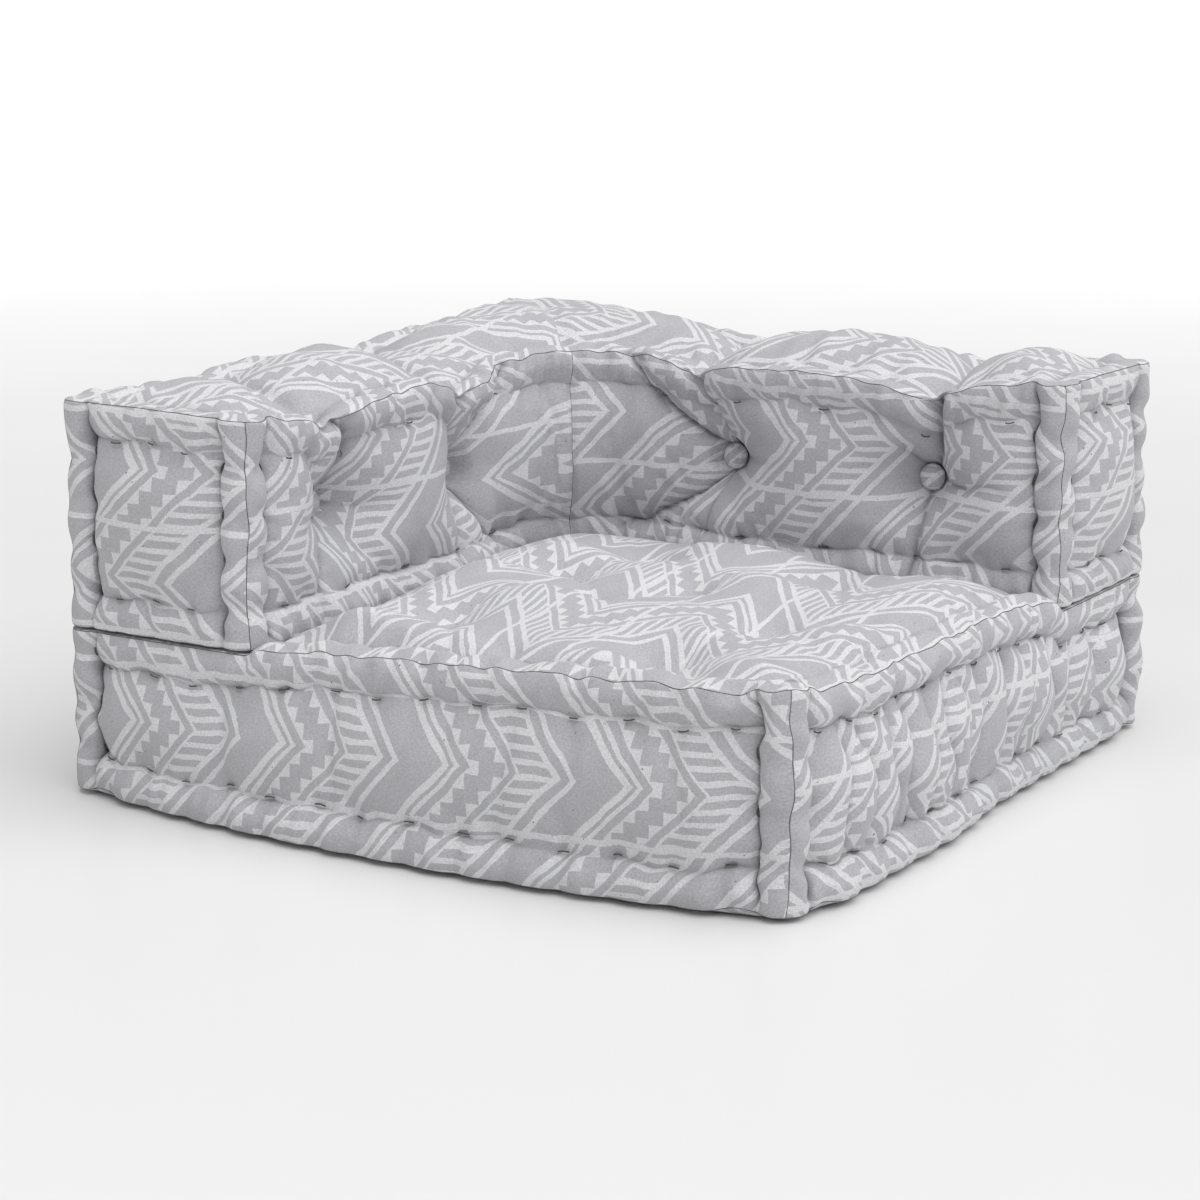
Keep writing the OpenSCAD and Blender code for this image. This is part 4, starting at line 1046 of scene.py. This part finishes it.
def zigzag_print(tree, place, look):
    """Where the cloth is printed, from 0 to 1, by its print coordinates."""
    wander = add(tree, "ShaderNodeTexNoise", {"Vector": place, "Scale": 22.0, "Detail": 3.0})
    centred = add(tree, VECTOR, {0: wander.outputs["Color"], 1: (0.5, 0.5, 0.5)},
                  operation="SUBTRACT")
    moved = add(tree, VECTOR, {0: centred, 1: (WANDER, WANDER, 0.0), 2: place},
                operation="MULTIPLY_ADD")
    drawn = add(tree, "ShaderNodeSeparateXYZ", {0: moved})
    u, v = drawn.outputs[0], drawn.outputs[1]
    width, height = look.repeat_width, look.repeat_height
    row = add(tree, MATH, {0: v, 1: BLOCK_ROW}, operation="SNAP")
    middle = add(tree, MATH, {0: row, 1: BLOCK_ROW / 2}, operation="ADD")
    strands = []
    for level in (v, middle):
        turns = add(tree, MATH, {0: level, 1: height}, operation="DIVIDE")
        fold = add(tree, MATH, {0: turns, 1: 0.5}, operation="PINGPONG")
        aside = add(tree, MATH, {0: fold, 1: -height, 2: u}, operation="MULTIPLY_ADD")
        share = add(tree, MATH, {0: aside, 1: width}, operation="DIVIDE")
        strands.append((fold, add(tree, MATH, {0: share}, operation="FRACT")))
    (fold, across), (_, stepped) = strands
    stripes = add(tree, "ShaderNodeValToRGB", {0: across})
    stripes.color_ramp.interpolation = "CONSTANT"
    marks = stripes.color_ramp.elements
    while len(marks) < len(STRIPES):
        marks.new(0.5)
    for mark, (at, _, _) in zip(marks, STRIPES):
        mark.position = at
    for mark, (_, plain, ladder) in zip(marks, STRIPES):
        mark.color = (plain, ladder, 0, 1)
    parts = add(tree, "ShaderNodeSeparateColor", {0: stripes})
    steps = add(tree, MATH, {0: v, 1: RUNG_PITCH}, operation="DIVIDE")
    gap = add(tree, MATH, {0: steps}, operation="FRACT")
    rung = add(tree, MATH, {0: gap, 1: RUNG_SHARE}, operation="LESS_THAN")
    ladder = add(tree, MATH, {0: parts.outputs[1], 1: rung}, operation="MULTIPLY")
    block = add(tree, MATH, {0: stepped, 1: BLOCK_MIDDLE, 2: BLOCK_HALF}, operation="COMPARE")
    first = add(tree, MATH, {0: parts.outputs[0], 1: ladder}, operation="MAXIMUM")
    second = add(tree, MATH, {0: first, 1: block}, operation="MAXIMUM")
    bare = add(tree, MATH, {0: fold, 1: BARE_MIDDLE, 2: BARE_HALF}, operation="COMPARE")
    return add(tree, MATH, {0: second, 1: bare}, operation="SUBTRACT", use_clamp=True)


def printed_canvas(name, look, on_cover):
    """Printed cotton canvas: heathered off-white cloth with a grey zigzag print, quite matt, with
    painted shade in its creases.
    """
    _, tree, shader = new_material(name)
    if on_cover:
        place = add(tree, "ShaderNodeUVMap", uv_map="print")
    else:
        lying = add(tree, "ShaderNodeTexCoord").outputs["Object"]
        place = add(tree, "ShaderNodeMapping", {"Vector": lying,
                                                "Rotation": (-math.pi / 2, 0, 0)})
    inked = zigzag_print(tree, place, look)
    # Heathered yarn: uneven thick and thin threads both ways, and short dark flecks
    threads = []
    for stretch in ((260.0, 700.0, 1.0), (700.0, 260.0, 1.0)):
        lain = add(tree, "ShaderNodeMapping", {"Vector": place, "Scale": stretch})
        threads.append(add(tree, "ShaderNodeTexNoise", {"Vector": lain, "Scale": 1.0,
                                                        "Detail": 3.0, "Roughness": 0.65}))
    yarn = add(tree, MATH, {0: threads[0], 1: threads[1]}, operation="ADD")
    heather = add(tree, "ShaderNodeMapRange", {0: yarn, 1: 0.80, 2: 1.20, 3: -0.5, 4: 0.5})
    cloud = add(tree, "ShaderNodeTexNoise", {"Vector": place, "Scale": 40.0, "Detail": 4.0})
    cells = add(tree, "ShaderNodeTexVoronoi", {"Vector": place, "Scale": 75.0})
    sparse = add(tree, "ShaderNodeSeparateColor", {0: cells.outputs["Color"]})
    size = add(tree, MATH, {0: sparse, 1: 0.085}, operation="MULTIPLY")
    fleck = add(tree, MATH, {0: cells.outputs["Distance"], 1: size}, operation="LESS_THAN")
    ink = add(tree, "ShaderNodeMapRange", {0: cloud, 1: 0.3, 2: 0.7, 3: 0.86, 4: 1.0})
    printed = add(tree, MATH, {0: inked, 1: ink}, operation="MULTIPLY")
    cloth = add(tree, "ShaderNodeMix",
                {0: printed, 6: (*look.canvas, 1), 7: (*look.print_grey, 1)}, data_type="RGBA")
    speckled = add(tree, "ShaderNodeMix", {0: fleck, 6: cloth.outputs[2], 7: (*look.fleck, 1)},
                   data_type="RGBA")
    tone = add(tree, "ShaderNodeMapRange", {0: heather, 1: -0.5, 2: 0.5, 3: 0.83, 4: 1.12})
    # Painted shade: the cloth is darkened where it is creased hard against itself, standing in for
    # the shadow in the crease
    creased = add(tree, "ShaderNodeAttribute", attribute_name="creased")
    hard = add(tree, MATH, {0: creased.outputs["Fac"], 1: 1.3}, operation="POWER")
    painted_shade = add(tree, "ShaderNodeMapRange", {0: hard, 3: 1.0, 4: 0.24})
    light = add(tree, MATH, {0: tone, 1: painted_shade}, operation="MULTIPLY")
    shade = add(tree, VECTOR, {0: speckled.outputs[2], "Scale": light}, operation="SCALE")
    # Threads about a millimetre and a half apart: the real ones are finer than the picture shows
    relief = add(tree, MATH, {0: heather, 1: 0.25, 2: cloud}, operation="MULTIPLY_ADD")
    bump = add(tree, "ShaderNodeBump", {"Height": relief, "Strength": 0.35, "Distance": 0.0018})
    tree.links.new(shade.outputs[0], shader["Base Color"])
    tree.links.new(bump.outputs[0], shader["Normal"])
    shader["Roughness"].default_value = 0.92
    shader["Sheen Weight"].default_value = 0.15
    shader["Sheen Roughness"].default_value = 0.5
    shader["Specular IOR Level"].default_value = 0.25


def sewing_twine(name, colour):
    """Waxed cotton twine: two strands laid together, a little smoother than the cloth."""
    _, tree, shader = new_material(name)
    place = add(tree, "ShaderNodeTexCoord").outputs["Object"]
    strands = add(tree, "ShaderNodeTexWave", {"Vector": place, "Scale": 260.0, "Distortion": 1.5},
                  bands_direction="DIAGONAL").outputs["Fac"]
    tone = add(tree, "ShaderNodeMapRange", {0: strands, 3: 0.75, 4: 1.1})
    shade = add(tree, VECTOR, {0: tuple(colour), "Scale": tone}, operation="SCALE")
    bump = add(tree, "ShaderNodeBump", {"Height": strands, "Strength": 0.4, "Distance": 0.0004})
    tree.links.new(shade.outputs[0], shader["Base Color"])
    tree.links.new(bump.outputs[0], shader["Normal"])
    shader["Roughness"].default_value = 0.72


def studio_floor(name, colour):
    """Painted studio board: smooth, pale, with a faint broad reflection round the sofa."""
    material, tree, shader = new_material(name)
    place = add(tree, "ShaderNodeTexCoord").outputs["Object"]
    grain = add(tree, "ShaderNodeTexNoise", {"Vector": place, "Scale": 3.0, "Detail": 3.0})
    gloss = add(tree, "ShaderNodeMapRange", {0: grain, 3: 0.26, 4: 0.34})
    # Painted light: the board pales with distance from the sofa, up to white far off, so that the
    # far floor reads as brightly lit; it is shinier near the sofa
    away = add(tree, VECTOR, {0: place}, operation="LENGTH")
    far_share = add(tree, "ShaderNodeMapRange", {0: away.outputs["Value"], 1: 1.0, 2: 6.0},
               interpolation_type="SMOOTHSTEP")
    board = add(tree, "ShaderNodeMix", {0: far_share, 6: (*colour, 1), 7: (1, 1, 1, 1)},
                data_type="RGBA")
    shine = add(tree, "ShaderNodeMapRange", {0: far_share, 3: 0.35, 4: 0.0})
    tree.links.new(board.outputs[2], shader["Base Color"])
    tree.links.new(gloss.outputs[0], shader["Roughness"])
    tree.links.new(shine.outputs[0], shader["Specular IOR Level"])
    return material


def stitch_strands(tree, given, ring):
    """One arched stitch of twine on each point."""
    half = add(tree, MATH, {0: given["Length"], 1: 0.5}, operation="MULTIPLY")
    back = add(tree, MATH, {0: given["Length"], 1: -0.5}, operation="MULTIPLY")
    sunk = add(tree, MATH, {0: given["Rise"], 1: -1.0}, operation="MULTIPLY")
    start = add(tree, "ShaderNodeCombineXYZ", {0: back, 2: sunk})
    top = add(tree, "ShaderNodeCombineXYZ", {2: given["Rise"]})
    end = add(tree, "ShaderNodeCombineXYZ", {0: half, 2: sunk})
    arch = add(tree, "GeometryNodeCurveQuadraticBezier",
               {"Resolution": 7, "Start": start, "Middle": top, "End": end})
    strand = add(tree, "GeometryNodeCurveToMesh", {"Curve": arch, "Profile Curve": ring,
                                                   "Fill Caps": True})
    run = add(tree, "GeometryNodeInputNamedAttribute", {"Name": "run"}, data_type="FLOAT_VECTOR")
    up = add(tree, "GeometryNodeInputNamedAttribute", {"Name": "up"}, data_type="FLOAT_VECTOR")
    lie = add(tree, "FunctionNodeAlignRotationToVector", {"Vector": run}, axis="X")
    stand = add(tree, "FunctionNodeAlignRotationToVector", {"Rotation": lie, "Vector": up},
                axis="Z", pivot_axis="X")
    uneven_size = add(tree, "FunctionNodeRandomValue", {
        "Seed": 5, "Min": (0.75, 0.9, 0.8), "Max": (1.2, 1.1, 1.2)}, data_type="FLOAT_VECTOR")
    return add(tree, "GeometryNodeInstanceOnPoints", {
        "Points": given["Geometry"], "Instance": strand, "Rotation": stand, "Scale": uneven_size})


def seam_strands(tree, given, ring):
    """A round sewing thread along each seam line."""
    lines = add(tree, "GeometryNodeMeshToCurve", {0: given["Geometry"]})
    even = add(tree, "GeometryNodeResampleCurve", {"Curve": lines, "Length": given["Step"]},
               mode="LENGTH")
    return add(tree, "GeometryNodeCurveToMesh", {"Curve": even, "Profile Curve": ring,
                                                 "Fill Caps": True})


def thread_tree(name, sizes, strands):
    """Geometry nodes that turn a mesh into strands of that Thickness, with more named sizes."""
    tree = bpy.data.node_groups.new(name, "GeometryNodeTree")
    face = tree.interface
    face.new_socket("Geometry", in_out="INPUT", socket_type="NodeSocketGeometry")
    for label in sizes:
        face.new_socket(label, in_out="INPUT", socket_type="NodeSocketFloat").subtype = "DISTANCE"
    face.new_socket("Material", in_out="INPUT", socket_type="NodeSocketMaterial")
    face.new_socket("Geometry", in_out="OUTPUT", socket_type="NodeSocketGeometry")
    given = add(tree, "NodeGroupInput").outputs
    radius = add(tree, MATH, {0: given["Thickness"], 1: 0.5}, operation="MULTIPLY")
    ring = add(tree, "GeometryNodeCurvePrimitiveCircle", {"Resolution": 6, "Radius": radius})
    plain = add(tree, "GeometryNodeRealizeInstances", {0: strands(tree, given, ring)})
    dressed = add(tree, "GeometryNodeSetMaterial", {"Geometry": plain,
                                                    "Material": given["Material"]})
    add(tree, "NodeGroupOutput", {0: dressed})
    return tree


def from_tree(name, mesh, tree, values):
    """Run a geometry tree on a mesh with its named inputs, and keep the result as a plain mesh."""
    piece = put(name, mesh)
    maker = piece.modifiers.new("maker", "NODES")
    maker.node_group = tree
    sockets = {s.name: s.identifier for s in tree.interface.items_tree
               if s.item_type == "SOCKET" and s.in_out == "INPUT"}
    for label, value in values.items():
        maker[sockets[label]] = value
    made = evaluated_mesh(piece)
    piece.modifiers.remove(maker)
    piece.data = made
    made.name = name
    bpy.data.meshes.remove(mesh)
    if not made.polygons:
        raise RuntimeError(f"{name} came out empty")
    made.shade_smooth()
    return piece


def lay_stitches(name, cover, marks, thread, material):
    """Stitches on a finished cover, at its marked points."""
    co, normal = surface(cover)
    at, before, after = np.array(marks).T
    mesh = bpy.data.meshes.new(name + " points")
    mesh.from_pydata((co[at] - normal[at] * thread.depth).tolist(), [], [])
    for label, ways in (("run", co[after] - co[before]), ("up", normal[at])):
        made = mesh.attributes.new(label, "FLOAT_VECTOR", "POINT")
        made.data.foreach_set("vector", ways.ravel())
    sizes = {"Length": thread.length, "Thickness": thread.thickness,
             "Rise": thread.thickness * 0.9}
    tree = thread_tree("hand stitches", sizes, stitch_strands)
    return from_tree(name, mesh, tree, {**sizes, "Material": material})


def lay_seams(name, cover, seams, thread, material):
    """Sewing threads along a finished cover's seams."""
    co, normal = surface(cover)
    points, edges = [], []
    for ids, closed in seams:
        start = len(points)
        points.extend((co[ids] - normal[ids] * thread.seam_thickness * 0.2).tolist())
        edges += [(start + k, start + k + 1) for k in range(len(ids) - 1)]
        if closed:
            edges.append((start + len(ids) - 1, start))
    mesh = bpy.data.meshes.new(name + " lines")
    mesh.from_pydata(points, edges, [])
    sizes = {"Thickness": thread.seam_thickness, "Step": 0.004}
    tree = thread_tree("seam threads", sizes, seam_strands)
    return from_tree(name, mesh, tree, {**sizes, "Material": material})


class SofaCloth(bpy.types.PropertyGroup):
    """The printed canvas."""
    canvas: bpy.props.FloatVectorProperty(
        name="Canvas", description="Bare canvas between the printed bands", subtype="COLOR",
        size=3, min=0, max=1, default=hex_colour("#D9D9DB"))
    print_grey: bpy.props.FloatVectorProperty(
        name="Print", description="Grey of the printed bands", subtype="COLOR", size=3, min=0,
        max=1, default=hex_colour("#B3B3B7"))
    fleck: bpy.props.FloatVectorProperty(
        name="Flecks", description="Dark seed flecks in the yarn", subtype="COLOR", size=3, min=0,
        max=1, default=hex_colour("#8A8884"))
    repeat_width: bpy.props.FloatProperty(
        name="Repeat width", description="Width of one repeat of the print", unit="LENGTH",
        min=0.05, max=1.0, default=PRINT_P)
    repeat_height: bpy.props.FloatProperty(
        name="Repeat height", description="Height of one zigzag of the print", unit="LENGTH",
        min=0.05, max=1.0, default=PRINT_Q)


class SofaFilling(bpy.types.PropertyGroup):
    """How hard the covers are stuffed."""
    pressure: bpy.props.FloatProperty(
        name="Pressure", description="Pressure of the filling on the cover", min=0.0, max=20.0,
        default=4.0)
    slack: bpy.props.FloatProperty(
        name="Slack", description="Share of extra cloth sewn into the cover", subtype="FACTOR",
        min=0.0, max=0.2, default=0.03)
    stiffness: bpy.props.FloatProperty(
        name="Stiffness", description="Resistance of the canvas to stretching", min=1.0,
        max=200.0, default=30.0)
    bending: bpy.props.FloatProperty(
        name="Bending", description="Resistance of the canvas to folding", min=0.0, max=50.0,
        default=0.5)
    quality: bpy.props.IntProperty(
        name="Quality", description="Simulation steps in a frame", min=1, max=20, default=6)
    frames: bpy.props.IntProperty(
        name="Frames", description="Length of the simulation in frames", min=2, max=60,
        default=20)
    limit: bpy.props.FloatProperty(
        name="Limit", description="Farthest that a point of the cover may move", unit="LENGTH",
        min=0.0, max=0.05, default=0.010)


class SofaThread(bpy.types.PropertyGroup):
    """Hand stitches and seam threads."""
    colour: bpy.props.FloatVectorProperty(
        name="Twine", description="Colour of the stitches and seam threads", subtype="COLOR",
        size=3, min=0, max=1, default=hex_colour("#55534F"))
    length: bpy.props.FloatProperty(
        name="Stitch length", description="Length of one hand stitch", unit="LENGTH", min=0.002,
        max=0.03, default=0.012)
    thickness: bpy.props.FloatProperty(
        name="Stitch thickness", description="Diameter of the stitching twine", unit="LENGTH",
        min=0.0005, max=0.005, default=0.0019)
    depth: bpy.props.FloatProperty(
        name="Stitch depth", description="How far a stitch sinks into the cloth", unit="LENGTH",
        min=-0.02, max=0.02, default=-0.0075)
    seam_thickness: bpy.props.FloatProperty(
        name="Seam thread", description="Diameter of the thread along a seam", unit="LENGTH",
        min=0.0002, max=0.004, default=0.0012)


class SofaStage(bpy.types.PropertyGroup):
    """Camera, floor and light."""
    lens: bpy.props.FloatProperty(
        name="Lens", description="Focal length of the camera", unit="CAMERA", min=20, max=300,
        default=96.48)
    floor: bpy.props.FloatVectorProperty(
        name="Floor", description="Colour of the studio floor", subtype="COLOR", size=3, min=0,
        max=1, default=hex_colour("#E9E9E9"))
    sky: bpy.props.FloatProperty(
        name="Room light", description="Strength of the light from all round", min=0.0, max=5.0,
        default=0.40)
    softbox: bpy.props.FloatProperty(
        name="Softbox", description="Strength of the wide overhead softbox", min=0.0, max=20.0,
        default=2.56)


MADE = {}              # covers with their marks and seams, for the operators that follow


def cover_of(body):
    """A finished cover, its marks and its seams; the operators that dress it run after its own."""
    if body not in MADE:
        raise RuntimeError(f"the {body} cover is made first")
    return MADE[body]


def dress(context, body, parts, nodes, settle):
    """Make one cushion's cover, fill it, and put it in the place of its soft solids."""
    shell, points, prints, hold, creased, marks, columns = parts
    cover = make_cover(f"{body}_cover", shell, points, prints, hold, creased)
    points = stuff(cover, context.scene.sofa_filling)
    points = settle(relax(shell, points, 0.25))
    cover.data.vertices.foreach_set("co", points.ravel())
    cover.data.update()
    finish_cover(cover, bpy.data.materials["printed cotton canvas"])
    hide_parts(*nodes)
    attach(cover, body)
    MADE[body] = (cover, marks, shell.seams(columns))
    return {"FINISHED"}


class SofaMaterials(bpy.types.Operator):
    """Mix the cloth and the twine"""
    bl_idname = "sofa.materials"
    bl_label = "Cloth and twine"

    def execute(self, context):
        look, thread = context.scene.sofa_cloth, context.scene.sofa_thread
        printed_canvas("printed cotton canvas", look, True)
        printed_canvas("printed canvas over buttons", look, False)
        sewing_twine("grey waxed sewing twine", thread.colour)
        sewing_twine("natural waxed tufting twine", hex_colour("#DDD6C8"))
        return {"FINISHED"}


class SofaSeat(bpy.types.Operator):
    """Sew and fill the seat cushion's cover"""
    bl_idname = "sofa.seat"
    bl_label = "Seat cover"

    def execute(self, context):
        nodes = ["seat_filling", "seat_top_panel", "seat_base_panel", "seat_front_border",
                 "seat_right_border", "seat_rear_border", "seat_left_border", "seat_top_roll",
                 "seat_base_roll", "seat_corner_rolls"]

        def settle(points):
            """The cover rests on the floor, hides the tufts' knots and stays under the back."""
            x, y, z = points.T
            under = (x < ARM - HALF - 0.01) | (y > HALF - ARM + 0.01)
            z[:] = np.maximum(z, 0.0)
            upper = z > SEAT_UPPER
            knots = vectors(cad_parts["seat_top_knots"].data.vertices, "co")
            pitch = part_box("seat_top_knots")[1].x - KNOT_RADIUS
            for i, j in itertools.product((-1, 0, 1), repeat=2):
                own = np.hypot(knots[:, 0] - i * pitch, knots[:, 1] - j * pitch) < 0.02
                r = np.hypot(x - i * pitch, y - j * pitch)
                lack = np.max((knots[own, 2].max() + 0.001 - z)[upper & (r < 0.013)], initial=0)
                z[upper] += lack * hill(np.maximum(r - 0.010, 0), 0.03)[upper]
            z[under] = np.minimum(z[under], BACK_LOW - COVER_GAP)
            return points

        return dress(context, "seat", seat_parts(np.random.default_rng(11)), nodes, settle)


class SofaBack(bpy.types.Operator):
    """Sew and fill the back cushion's cover"""
    bl_idname = "sofa.back"
    bl_label = "Back cover"

    def execute(self, context):
        nodes = ["back_filling", "back_top_panel", "back_base_panel", "back_inner_left_border",
                 "back_inner_rear_border", "back_outer_left_border", "back_outer_rear_border",
                 "back_front_end", "back_right_end", "back_top_roll", "back_base_roll",
                 "back_corner_rolls"]

        def settle(points):
            """The cover stays over the seat's, and behind the middle of each inner button."""
            x, y, z = points.T
            z[:] = np.maximum(z, BACK_LOW + COVER_GAP)
            for tuft in TUFTS_Y:
                on_left = (np.hypot(y - tuft, z - TUFT_Z) < BUTTON_CLEAR) & (x > TUFT_X - 0.01)
                on_rear = (np.hypot(x + tuft, z - TUFT_Z) < BUTTON_CLEAR) & (y < 0.01 - TUFT_X)
                x[on_left] = np.minimum(x[on_left], TUFT_X + BUTTON_SHOWS)
                y[on_rear] = np.maximum(y[on_rear], -TUFT_X - BUTTON_SHOWS)
            return points

        return dress(context, "back", back_parts(np.random.default_rng(23)), nodes, settle)


class SofaStitches(bpy.types.Operator):
    """Lay the hand stitches beside the rolls of both cushions"""
    bl_idname = "sofa.stitches"
    bl_label = "Hand stitches"

    def execute(self, context):
        twine = bpy.data.materials["grey waxed sewing twine"]
        for body in BODIES:
            cover, marks, _ = cover_of(body)
            piece = lay_stitches(f"{body}_stitches", cover, marks, context.scene.sofa_thread,
                                 twine)
            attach(piece, body)
        return {"FINISHED"}


class SofaSeams(bpy.types.Operator):
    """Run the sewing thread along the seams of both cushions"""
    bl_idname = "sofa.seams"
    bl_label = "Seam threads"

    def execute(self, context):
        twine = bpy.data.materials["grey waxed sewing twine"]
        for body in BODIES:
            cover, _, seams = cover_of(body)
            piece = lay_seams(f"{body}_seam_threads", cover, seams, context.scene.sofa_thread,
                              twine)
            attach(piece, body)
        return {"FINISHED"}


class SofaTufts(bpy.types.Operator):
    """Dress the buttons, knots and tufting twines of the frame"""
    bl_idname = "sofa.tufts"
    bl_label = "Buttons and tufts"

    def execute(self, context):
        cloth = bpy.data.materials["printed canvas over buttons"]
        twine = bpy.data.materials["natural waxed tufting twine"]
        for node, finish in (("back_inner_buttons", cloth), ("back_outer_buttons", cloth),
                             ("seat_top_knots", twine), ("seat_base_knots", twine),
                             ("seat_tuft_twines", twine), ("back_tuft_twines", twine)):
            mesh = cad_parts[node].data
            mesh.materials.clear()
            mesh.materials.append(finish)
        return {"FINISHED"}


# The camera, fitted to the corners of the photographed sofa: angles in radians, place in metres
YAW, DOWN, LEAN = 0.542228842, 0.221969017, 0.00355186
CAMERA_PLACE = (2.03348239, -3.44144769, 1.10880143)
FLOOR_HALF = 60.0
LIGHT_WAY = (-0.38, 0.06, -1.0)  # the way the softbox's light falls
LIGHT_SPREAD = 1.4               # the angle that the softbox fills, seen from the sofa


class SofaStudio(bpy.types.Operator):
    """Set up the camera, the floor and the soft light"""
    bl_idname = "sofa.studio"
    bl_label = "Studio"

    def execute(self, context):
        scene, stage = context.scene, context.scene.sofa_stage
        lens = bpy.data.cameras.new("camera")
        lens.sensor_width, lens.lens, lens.clip_end = 36.0, stage.lens, 200.0
        camera = put("camera", lens)
        back = Vector((math.sin(YAW) * math.cos(DOWN), -math.cos(YAW) * math.cos(DOWN),
                       math.sin(DOWN)))
        right = (-back).cross(Vector((0, 0, 1))).normalized()
        up = right.cross(-back)
        leaned = right * math.cos(LEAN) + up * math.sin(LEAN)
        risen = up * math.cos(LEAN) - right * math.sin(LEAN)
        turn = Matrix((leaned, risen, back)).transposed().to_4x4()
        camera.matrix_world = Matrix.Translation(CAMERA_PLACE) @ turn
        scene.camera = camera

        floor = bpy.data.meshes.new("studio_floor")
        corners = [(-1, -1, 0), (1, -1, 0), (1, 1, 0), (-1, 1, 0)]
        floor.from_pydata([Vector(corner) * FLOOR_HALF for corner in corners], [],
                          [(0, 1, 2, 3)])
        floor.materials.append(studio_floor("painted studio board", stage.floor))
        ground = put("studio_floor", floor)

        scene.view_settings.view_transform = "Standard"
        scene.world = bpy.data.worlds.new("studio")
        scene.world.use_nodes = True
        sky = scene.world.node_tree.nodes["Background"].inputs
        sky[0].default_value = (1, 1, 1, 1)
        sky[1].default_value = stage.sky
        light = bpy.data.lights.new("softbox", "SUN")
        light.energy, light.angle = stage.softbox, LIGHT_SPREAD
        lamp = put("softbox", light)
        lamp.rotation_euler = Vector(LIGHT_WAY).to_track_quat("-Z", "Y").to_euler()
        return {"FINISHED"}


GROUPS = {"sofa_cloth": SofaCloth, "sofa_filling": SofaFilling, "sofa_thread": SofaThread,
          "sofa_stage": SofaStage}
STEPS = [SofaStudio, SofaMaterials, SofaSeat, SofaBack, SofaStitches, SofaSeams, SofaTufts]


class SofaPanel(bpy.types.Panel):
    """The steps of making the sofa and their settings"""
    bl_idname = "VIEW3D_PT_sofa"
    bl_label = "Corner sofa module"
    bl_space_type = "VIEW_3D"
    bl_region_type = "UI"
    bl_category = "Sofa"

    def draw(self, context):
        for name, group in GROUPS.items():
            box = self.layout.box()
            for setting in group.__annotations__:
                box.prop(getattr(context.scene, name), setting)
        for step in STEPS:
            self.layout.operator(step.bl_idname)


def register():
    """Make the settings, steps and panel known to Blender."""
    for made in [*GROUPS.values(), *STEPS, SofaPanel]:
        bpy.utils.register_class(made)
    for name, group in GROUPS.items():
        setattr(bpy.types.Scene, name, bpy.props.PointerProperty(type=group))


def unregister():
    """Take them away again."""
    for name in GROUPS:
        delattr(bpy.types.Scene, name)
    for made in reversed([*GROUPS.values(), *STEPS, SofaPanel]):
        bpy.utils.unregister_class(made)


def main():
    """Make every piece in order."""
    register()
    for step in STEPS:
        area, name = step.bl_idname.split(".")
        getattr(getattr(bpy.ops, area), name)()


if __name__ == "__main__":
    main()
